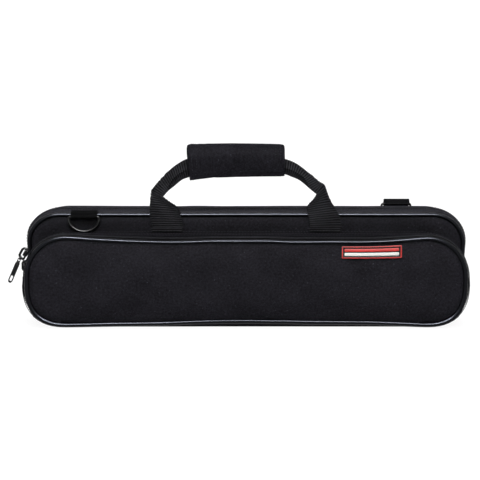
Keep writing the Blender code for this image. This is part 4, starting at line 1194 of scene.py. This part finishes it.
def moulded_plate(name, width, height, corner, thickness, rim=0.0):
    """A plate with rounded corners, made from a plane. A rim is raised round it where that is asked."""
    bpy.ops.mesh.primitive_plane_add(size=1.0, rotation=(math.pi / 2, 0.0, 0.0))
    plate = bpy.context.object
    plate.name = name
    plate.scale = (width, height, 1.0)
    bpy.ops.object.transform_apply(location=True, rotation=True, scale=True)
    edit(plate)
    bpy.ops.mesh.bevel(offset=corner, segments=5, affect="VERTICES")
    bpy.ops.mesh.select_all(action="SELECT")
    bpy.ops.mesh.extrude_region_move(TRANSFORM_OT_translate={"value": (0.0, -thickness, 0.0)})
    if rim:
        bpy.ops.mesh.inset(thickness=PATCH_RIM_SLOPES[0])
        bpy.ops.transform.translate(value=(0.0, -PATCH_RIM_RISE, 0.0))
        bpy.ops.mesh.inset(thickness=rim)
        bpy.ops.mesh.inset(thickness=PATCH_RIM_SLOPES[1])
        bpy.ops.transform.translate(value=(0.0, PATCH_RIM_RISE, 0.0))
    bpy.ops.mesh.select_all(action="SELECT")
    bpy.ops.mesh.normals_make_consistent(inside=False)
    for place in np.linspace(-width / 2, width / 2, PATCH_SLICES + 1)[1:-1]:
        bpy.ops.mesh.select_all(action="SELECT")
        bpy.ops.mesh.bisect(plane_co=(float(place), 0.0, 0.0), plane_no=(1.0, 0.0, 0.0))
    end_edit()
    round_edges(plate, PATCH_EDGE_ROUND, 2, 50)
    return plate


# Moulded rubber: black, matt, with the rim filled in red before it was cured.
patch = moulded_plate("label_patch_plate", *PATCH_SIZE, PATCH_CORNER, PATCH_THICKNESS, PATCH_RIM)
rim_y = -PATCH_THICKNESS - PATCH_RIM_RISE * PATCH_RIM_FILLED
raised = [face.index for face in patch.data.polygons if face.center.y < rim_y]
lay_on_pocket(patch, 0.0, PATCH_LIFT)
rubber_look = moulded_look("moulded_black_rubber", "#09090a", "#141416", 0.5)
dress(patch, rubber_look, "pocket_flap", "patch_rubber", "label_patch")
patch.data.materials.append(moulded_look("moulded_red_rim", "#9c2421", "#c92f2a"))
for index in raised:
    patch.data.polygons[index].material_index = 1
for colour, up, dark, light in STRIPES:
    slot, node = "stripe_" + colour, "label_stripe_" + colour
    stripe = moulded_plate(
        node + "_inlay", PATCH_SIZE[0] - 2 * STRIPE_MARGIN, STRIPE_HEIGHT, STRIPE_CORNER,
        STRIPE_RISE + STRIPE_SUNK,
    )
    lay_on_pocket(stripe, up, PATCH_LIFT + PATCH_THICKNESS - STRIPE_SUNK)
    dress(stripe, moulded_look("moulded_" + slot, dark, light), "pocket_flap", slot, node)

# Carrying handle: one length of 30 mm ribbed polypropylene webbing. Its ends are sewn flat on the
# lid. Above them it turns a corner at each waist, where it folds lengthwise and runs to the grip.
HANDLE_SPAN = 0.150
HANDLE_HEIGHT = 0.080
PIVOT_Y = -0.0534
PIVOT_Z = 0.090
WEB_WIDTH = 0.0292
WEB_THICKNESS = 0.0013
WEB_RIB = 0.0022
WEB_RIB_RELIEF = 0.00024
WEB_SELVEDGE = 0.0012
WEB_CELL_ACROSS = WEB_WIDTH / 24
WEB_STEP = 0.0004
WEB_MIDDLE_Y = PIVOT_Y + 0.00075
LAYER_GAP = 0.00095
FRONT_LAYER_SHARE = 0.58
FREE_EDGE_LIFT = 0.0013
FOLD_PLACE = 0.29
CREASE_FORWARD = 0.0014
CREASE_BACK = 0.0004
EDGE_CURL = 0.0018
# Shares of the fold: where the free edge starts to lie back, where the layers are fully apart, and
# how much of the doubled webbing's width the round of the fold takes.
LIES_BACK_FROM = 0.85
APART_FROM = 0.4
FOLD_NOSE = 0.10
SELVEDGE_FLATNESS = 0.7
# Each row: outer edge x and z, inner edge x and z, as shares of the span and height; then how far
# the webbing is folded, how far its edges curl, and how far it stands forward at the crease.
STRAP_ROWS = (
    (-0.587, 0.002, -0.397, 0.002, 0.0, 0.0, 0.0),
    (-0.606, 0.150, -0.409, 0.140, 0.0, 0.5, 0.1),
    (-0.605, 0.275, -0.431, 0.243, 0.0, 1.0, 0.3),
    (-0.599, 0.372, -0.478, 0.306, 0.1, 0.8, 0.8),
    (-0.593, 0.445, -0.520, 0.368, 0.45, 0.3, 1.2),
    (-0.586, 0.462, -0.515, 0.384, 0.55, 0.1, 0.1),
    (-0.547, 0.552, -0.490, 0.436, 0.85, 0.0, 0.0),
    (-0.481, 0.680, -0.440, 0.512, 1.0, 0.0, 0.0),
    (-0.431, 0.754, -0.403, 0.568, 1.0, 0.0, 0.0),
    (-0.370, 0.815, -0.355, 0.600, 1.0, 0.0, 0.0),
    (-0.300, 0.826, -0.300, 0.618, 1.0, 0.0, 0.0),
    (-0.067, 0.834, -0.067, 0.628, 1.0, 0.0, 0.0),
    (0.170, 0.826, 0.170, 0.634, 1.0, 0.0, 0.0),
    (0.247, 0.812, 0.240, 0.634, 1.0, 0.0, 0.0),
    (0.319, 0.756, 0.290, 0.602, 1.0, 0.0, 0.0),
    (0.397, 0.645, 0.339, 0.561, 1.0, 0.0, 0.0),
    (0.459, 0.548, 0.393, 0.478, 0.85, 0.0, 0.0),
    (0.486, 0.518, 0.434, 0.414, 0.55, 0.1, 0.1),
    (0.495, 0.500, 0.443, 0.398, 0.45, 0.3, 1.2),
    (0.512, 0.412, 0.424, 0.338, 0.2, 0.8, 0.8),
    (0.533, 0.320, 0.391, 0.268, 0.05, 1.0, 0.4),
    (0.563, 0.238, 0.388, 0.190, 0.0, 0.8, 0.2),
    (0.592, 0.130, 0.399, 0.100, 0.0, 0.4, 0.1),
    (0.603, 0.002, 0.408, 0.002, 0.0, 0.0, 0.0),
)

# Ribbed polypropylene webbing, woven: each rib is a crossways ridge of fine yarns, slightly waxy.
ribbed_look = webbing_look("ribbed_webbing", "#030304", "#3e3e42", 0.00095, WEB_RIB)

rows = np.array(STRAP_ROWS)
rows[:, (0, 2)] *= HANDLE_SPAN
rows[:, (1, 3)] = PIVOT_Z + rows[:, (1, 3)] * HANDLE_HEIGHT
line = smooth_line(rows, WEB_STEP)[0]
web_runs = runs_of((line[:, :2] + line[:, 2:4]) / 2)


def strap_place(run, across):
    """Where each point of the flat webbing lies: its fold moves from one edge towards its middle."""
    outer_x, outer_z, inner_x, inner_z, folded, curl, forward = (
        np.interp(run, web_runs, column) for column in line.T
    )
    folded = clip01(folded)
    doubled = clip01((folded - LIES_BACK_FROM) / (1 - LIES_BACK_FROM))
    u = 2 * across / WEB_WIDTH - 1
    fold = -1 + folded * (1 + FOLD_PLACE)
    ahead_of_fold = u >= fold
    front_reach = 1 - (1 - FRONT_LAYER_SHARE) * doubled
    rear_reach = np.minimum(1.0, (fold + 1) / (1 - fold) * front_reach)
    front = front_reach * (u - fold) / (1 - fold)
    share = np.where(ahead_of_fold, front, rear_reach * (fold - u) / np.maximum(fold + 1, 1e-6))
    nose = np.sqrt(clip01(share / FOLD_NOSE))
    layer = np.where(ahead_of_fold, -1.0, 1.0) * nose * LAYER_GAP * clip01(folded / APART_FROM)
    free = np.where(ahead_of_fold, share / np.maximum(front_reach, 1e-6), 0.0)
    # The selvedges are woven closer, and their ribs are lower.
    selvedge = clip01(1 - np.minimum(across, WEB_WIDTH - across) / WEB_SELVEDGE)
    rib = WEB_RIB_RELIEF * np.sin(run * math.tau / WEB_RIB) * (1 - SELVEDGE_FLATNESS * selvedge)
    stand = CREASE_FORWARD * forward - CREASE_BACK * folded + FREE_EDGE_LIFT * free**2 * doubled
    y = WEB_MIDDLE_Y - EDGE_CURL * curl * u**2 - stand + layer - rib
    x = outer_x + (inner_x - outer_x) * share
    return np.stack([x, y, outer_z + (inner_z - outer_z) * share], axis=1)


strap = lay_strip(
    "handle_webbing", (float(web_runs[-1]), WEB_WIDTH), (WEB_RIB / 6, WEB_CELL_ACROSS), strap_place,
    WEB_THICKNESS,
)
dress(strap, ribbed_look, "handle", "webbing", "handle_strap")

TAIL_LENGTH = 0.0044
TAIL_GAP = 0.0002
TAIL_STITCH_PLACE = (-WEB_THICKNESS / 2 - 0.0002, 0.0016 - TAIL_LENGTH)
TAIL_STITCH_REACH = 0.0126
for name, centre in (("handle_tail_left", -HANDLE_SPAN / 2), ("handle_tail_right", HANDLE_SPAN / 2)):

    def tail_place(run, across):
        y = WEB_MIDDLE_Y - WEB_RIB_RELIEF * np.sin(run * math.tau / WEB_RIB)
        return np.stack([centre + across - WEB_WIDTH / 2, y, PIVOT_Z - TAIL_GAP - run], axis=1)

    size, cell = (TAIL_LENGTH - TAIL_GAP, WEB_WIDTH), (WEB_RIB / 4, WEB_CELL_ACROSS)
    tail = lay_strip(name + "_webbing", size, cell, tail_place, WEB_THICKNESS)
    dress(tail, ribbed_look, "lid", "webbing", name)
    spots = np.array([
        (centre + place, WEB_MIDDLE_Y + TAIL_STITCH_PLACE[0], PIVOT_Z + TAIL_STITCH_PLACE[1])
        for place in np.arange(-TAIL_STITCH_REACH, TAIL_STITCH_REACH + 0.0001, STITCH_PITCH)
    ])
    aheads, outs = (np.tile(way, (len(spots), 1)) for way in ((1.0, 0.0, 0.0), (0.0, -1.0, 0.0)))
    tacks = repeat_along(name + "_stitches", one_stitch(), spots, aheads, outs)
    dress(tacks, thread_look, "lid", "webbing")

# Handle grip: a sleeve of nylon over foam, wrapped round the folded webbing and sewn shut. Each open
# end is turned in, with two rows of stitches beside it. The webbing runs out of both ends.
GRIP_FIRST = -0.0558
GRIP_LAST = 0.03645
GRIP_AROUND = 0.082
GRIP_CELL = (0.002, 0.0021)
GRIP_DEPTH = 0.0175
GRIP_SQUARENESS = 0.62
GRIP_FULLEST = 0.66
GRIP_LEAN_BELOW = 1.3
GRIP_LEAN_ABOVE = 1.2
GRIP_SLANT = 0.0028
GRIP_FORWARD = 0.0004
GRIP_CHANNEL_DEPTH = 0.0042
GRIP_CHANNEL_ROOM = 0.001
GRIP_TURN_IN = 0.006
GRIP_TURNED_DEPTH = 0.004
GRIP_LIP_SHARE = 0.7
GRIP_SEAM_TURN = 0.4
GRIP_THICKNESS = 0.0008
GRIP_PRESSURE = 0.8
GRIP_REACH = 0.0007
GRIP_SEWN_OUTSIDE = 0.001
GRIP_SEWN_MIDDLE = 0.0045
GRIP_STITCH_PLACES = (0.0040, 0.0085)
GRIP_STITCH_RISE = 0.0002
GRIP_STITCH_STEPS = 401
# Each row: share of the grip's length; sleeve bottom and top, channel bottom and top, of the height.
GRIP_ROWS = (
    (0.0, 0.560, 0.978, 0.574, 0.842),
    (0.044, 0.566, 0.994, 0.584, 0.848),
    (0.226, 0.588, 1.000, 0.602, 0.852),
    (0.496, 0.600, 1.000, 0.612, 0.852),
    (0.767, 0.606, 0.997, 0.618, 0.850),
    (0.951, 0.608, 0.992, 0.620, 0.846),
    (1.0, 0.612, 0.980, 0.622, 0.834),
)
grip_table = np.array(GRIP_ROWS)
grip_length = GRIP_LAST - GRIP_FIRST


def grip_section(share, turn, depth, low=1):
    """A point of a squared oval round the webbing, at a share of the grip's length."""
    bottom, top = (
        PIVOT_Z + HANDLE_HEIGHT * np.interp(share, grip_table[:, 0], grip_table[:, place])
        for place in (low, low + 1)
    )
    wide, tall = (np.sign(way) * np.abs(way) ** GRIP_SQUARENESS for way in (np.cos(turn), np.sin(turn)))
    height = (tall + 1) / 2
    lean = 1 - GRIP_LEAN_BELOW * np.maximum(GRIP_FULLEST - height, 0.0)
    lean = lean - GRIP_LEAN_ABOVE * np.maximum(height - GRIP_FULLEST, 0.0)
    x = GRIP_FIRST + (GRIP_LAST - GRIP_FIRST) * share + GRIP_SLANT * (1 - share) ** 4 * (1 - height)
    y = WEB_MIDDLE_Y - GRIP_FORWARD + wide * lean * depth / 2
    return np.stack([x, y, (bottom + top) / 2 + tall * (top - bottom) / 2], axis=1)


def sleeve_place(run, across):
    """The sleeve's outside along its length, and its ends turned in to the channel."""
    turn = across / GRIP_AROUND * math.tau + GRIP_SEAM_TURN
    past_end = np.maximum(GRIP_TURN_IN - run, run - GRIP_TURN_IN - grip_length)
    inwards = clip01(past_end / GRIP_TURN_IN)
    share = clip01((run - GRIP_TURN_IN) / grip_length)
    outside = grip_section(share, turn, GRIP_DEPTH)
    channel = grip_section(share, turn, GRIP_CHANNEL_DEPTH + GRIP_CHANNEL_ROOM, 3)
    placed = outside + (channel - outside) * clip01(inwards / GRIP_LIP_SHARE)[:, None]
    deep = clip01((inwards - GRIP_LIP_SHARE) / (1 - GRIP_LIP_SHARE)) * GRIP_TURNED_DEPTH
    placed[:, 0] += np.where(run < GRIP_TURN_IN, deep, -deep)
    return placed


sleeve = cut_cloth("handle_grip_sleeve", grip_length + 2 * GRIP_TURN_IN, GRIP_AROUND, *GRIP_CELL)
shape_to(sleeve, sleeve_place)
turn_outwards(sleeve)
x, y, _ = points_of(sleeve).T
from_end = np.minimum(x - GRIP_FIRST, GRIP_LAST - x)
in_middle = np.abs(y - WEB_MIDDLE_Y) < GRIP_CHANNEL_DEPTH / 2
sewn = (from_end < GRIP_SEWN_OUTSIDE) | in_middle & (from_end < GRIP_SEWN_MIDDLE)
fill_out(sleeve, GRIP_PRESSURE, GRIP_REACH, np.flatnonzero(sewn), shrink=-0.003)
finish_with(sleeve, "SUBSURF", levels=1, render_levels=1)
finish_with(sleeve, "SOLIDIFY", thickness=GRIP_THICKNESS, offset=-1.0)
smooth(sleeve, 60)
dress(sleeve, nylon_look, "handle", "nylon", "handle_grip")
rows_done = []
for place in (*GRIP_STITCH_PLACES, *(grip_length - place for place in GRIP_STITCH_PLACES)):
    turns = np.linspace(0.0, math.tau, GRIP_STITCH_STEPS)
    far = runs_of(grip_section(place / grip_length, turns, GRIP_DEPTH + 2 * GRIP_STITCH_RISE))
    wanted = np.interp(np.arange(0.0, far[-1] - STITCH_PITCH / 2, STITCH_PITCH), far, turns)
    before, after = (
        grip_section(place / grip_length, wanted + near, GRIP_DEPTH) for near in (-0.004, 0.004)
    )
    spots = grip_section(place / grip_length, wanted, GRIP_DEPTH + GRIP_STITCH_RISE)
    rows_done.append((spots, after - before, np.cross(after - before, np.array((1.0, 0.0, 0.0)))))
spots, aheads, outs = (np.concatenate(parts) for parts in zip(*rows_done))
stitches = repeat_along("handle_grip_stitches", one_stitch(STITCH_RADIUS * 0.6), spots, aheads, outs)
dress(stitches, thread_look, "handle", "webbing")

# Zip sliders and pulls: die-cast sliders in black enamel, each with a bridge that holds a wire link
# and a stamped pull with a long slot. Their edges are rounded as castings and stampings are.
CASTING_ROUND = 0.00028
CASTING_CELL = 0.00017
CASTING_SWELL = 0.00058
CASTING_PLATE = 0.0013
SPRING_CAP = (0.0036, 0.0026, 0.0052)
SPRING_CAP_INWARDS = 0.0011
SPRING_CAP_UPWARDS = 0.0013
POCKET_SLIDER_LEAN_DEG = 29.0


def cast_slider(cast, lean_deg):
    """Casts the locking spring's cover on a slider, and rounds the slider out above its plate.

    The cover is a block on the slider's back under its bridge. The plate keeps clear of the coils.
    """
    lean = math.radians(lean_deg)
    out = Vector((-math.cos(lean), 0.0, math.sin(lean)))
    along = Vector((math.sin(lean), 0.0, math.cos(lean)))
    points = points_of(cast)
    middle = Vector((points.min(axis=0) + points.max(axis=0)) / 2)
    place = middle - out * SPRING_CAP_INWARDS + along * SPRING_CAP_UPWARDS
    bpy.ops.mesh.primitive_cube_add(size=1.0, location=place, rotation=(0.0, lean, 0.0), scale=SPRING_CAP)
    bpy.ops.object.transform_apply(location=True, rotation=True, scale=True)
    cast.select_set(True)
    bpy.context.view_layer.objects.active = cast
    bpy.ops.object.join()
    finish_with(cast, "REMESH", mode="VOXEL", voxel_size=CASTING_CELL)
    finish_with(cast, "SMOOTH", factor=0.5, iterations=26)
    height = points_of(cast) @ np.array(out)
    swell_past(cast, CASTING_SWELL, clip01((height - height.min()) / CASTING_PLATE - 1))


for kind in ("slider", "pull_link", "pull_tab"):
    for side, lean_deg in (("main", 0.0), ("pocket", POCKET_SLIDER_LEAN_DEG)):
        node = side + "_" + kind
        part = copy_of(node, node + "_cast")
        if kind == "slider":
            cast_slider(part, lean_deg)
        elif kind == "pull_link":
            finish_with(part, "SUBSURF", levels=1, render_levels=1)
        else:
            round_edges(part, CASTING_ROUND, 3, 35)
        smooth(part, 40)
        dress(part, enamel_look, side + ("_slider" if kind == "slider" else "_pull"), "black_metal", node)

# Setting: a plain pale floor that runs up into a backdrop, soft lamps above the front and the back,
# and a long lens a little above the case, as in the photograph.
FLOOR_Z = -0.0007
FLOOR_HALF = 5.0
BACKDROP_Y = 1.5
BACKDROP_HEIGHT = 2.4
BACKDROP_BEND = 0.6
EDGE_WITHIN = 0.01
CAMERA_PLACE = (-0.0056, -1.1398, 0.2271)
CAMERA_TILT_DEG = 82.2
CAMERA_LENS_MM = 86.6
WORLD_LEVEL = 0.09
WHITE = (1.0, 1.0, 1.0, 1.0)
# Each lamp: its place, what it points at, width, height, watts, whether it lights cloth, and whether
# gloss shows it. The strip lamp is only there as the bright line on gloss.
LAMPS = (
    ("front_softbox", (0.0, -0.86, 1.48), (0.0, -0.06, 0.08), 1.5, 0.4, 29.0, True, True),
    ("front_strip_lamp", (0.0, -1.5, 1.05), (0.0, -0.06, 0.08), 1.2, 0.22, 370.0, False, True),
    ("back_softbox", (0.0, 1.20, 1.30), (0.0, 0.0, 0.08), 1.5, 0.4, 40.0, True, False),
)


def edit_far_edge(piece):
    """Opens a piece for editing with only its low edge at the back selected."""
    edit(piece)
    bpy.ops.mesh.select_all(action="DESELECT")
    end_edit()
    for edge in piece.data.edges:
        ends = [piece.data.vertices[place].co for place in edge.vertices]
        edge.select = all(end.y > BACKDROP_Y - EDGE_WITHIN and end.z < EDGE_WITHIN for end in ends)
    bpy.ops.object.mode_set(mode="EDIT")
    bpy.ops.mesh.select_mode(type="EDGE")


def seen_directly(tree):
    """1 for the rays of the camera, of gloss and through glass, and 0 for those that light the case."""
    ray = add_node(tree, "ShaderNodeLightPath").outputs
    seen = maths(tree, "MAXIMUM", ray["Is Camera Ray"], ray["Is Glossy Ray"])
    return maths(tree, "MAXIMUM", seen, ray["Is Transmission Ray"])


bpy.ops.mesh.primitive_plane_add(size=2 * FLOOR_HALF, location=(0.0, BACKDROP_Y - FLOOR_HALF, FLOOR_Z))
floor = bpy.context.object
floor.name = "floor_and_backdrop"
bpy.ops.object.transform_apply(location=True, rotation=True, scale=True)
edit_far_edge(floor)
bpy.ops.mesh.extrude_region_move(TRANSFORM_OT_translate={"value": (0.0, 0.0, BACKDROP_HEIGHT)})
end_edit()
edit_far_edge(floor)
bpy.ops.mesh.bevel(offset=BACKDROP_BEND, segments=16, affect="EDGES")
end_edit()
smooth(floor)

# White paper sweep, coated and matt: it shows white to the camera and in gloss, and still takes the
# case's shadow. It is clear from below, so that the underside of the case can be looked at.
paper_look, tree, shader, _ = start_look("white_paper_sweep")
join(tree, shader, Base_Color=linear("#f4f4f4"), Roughness=0.9, Specular_IOR_Level=0.0)
share = maths(tree, "MULTIPLY", seen_directly(tree), 0.9)
white = add_node(tree, "ShaderNodeEmission", Color=WHITE, Strength=1.04).outputs[0]
mixed = add_node(tree, "ShaderNodeMixShader", _0=share, _1=shader.outputs[0], _2=white).outputs[0]
below = add_node(tree, "ShaderNodeNewGeometry").outputs["Backfacing"]
clear = add_node(tree, "ShaderNodeBsdfTransparent").outputs[0]
paper = add_node(tree, "ShaderNodeMixShader", _0=below, _1=mixed, _2=clear).outputs[0]
join(tree, tree.nodes["Material Output"], Surface=paper)
floor.data.materials.append(paper_look)

for name, place, target, wide, tall, watts, on_cloth, in_gloss in LAMPS:
    lamp = bpy.data.lights.new(name, "AREA")
    lamp.shape = "RECTANGLE"
    lamp.size = wide
    lamp.size_y = tall
    lamp.energy = watts
    stand = new_object(name, lamp)
    stand.location = place
    stand.rotation_euler = (Vector(target) - Vector(place)).to_track_quat("-Z", "Y").to_euler()
    stand.visible_camera = False
    stand.visible_diffuse = on_cloth
    stand.visible_glossy = in_gloss

world = bpy.data.worlds.new("plain_studio")
bpy.context.scene.world = world
world.use_nodes = True
tree = world.node_tree
level = spread_of(tree, seen_directly(tree), to_low=WORLD_LEVEL)
join(tree, tree.nodes["Background"], Color=WHITE, Strength=level)

lens = bpy.data.cameras.new("long_lens")
lens.lens = CAMERA_LENS_MM
lens.sensor_width = 36.0
camera = new_object("camera", lens)
camera.location = CAMERA_PLACE
camera.rotation_euler = (math.radians(CAMERA_TILT_DEG), 0.0, 0.0)
bpy.context.scene.camera = camera
bpy.context.scene.view_settings.view_transform = "Standard"
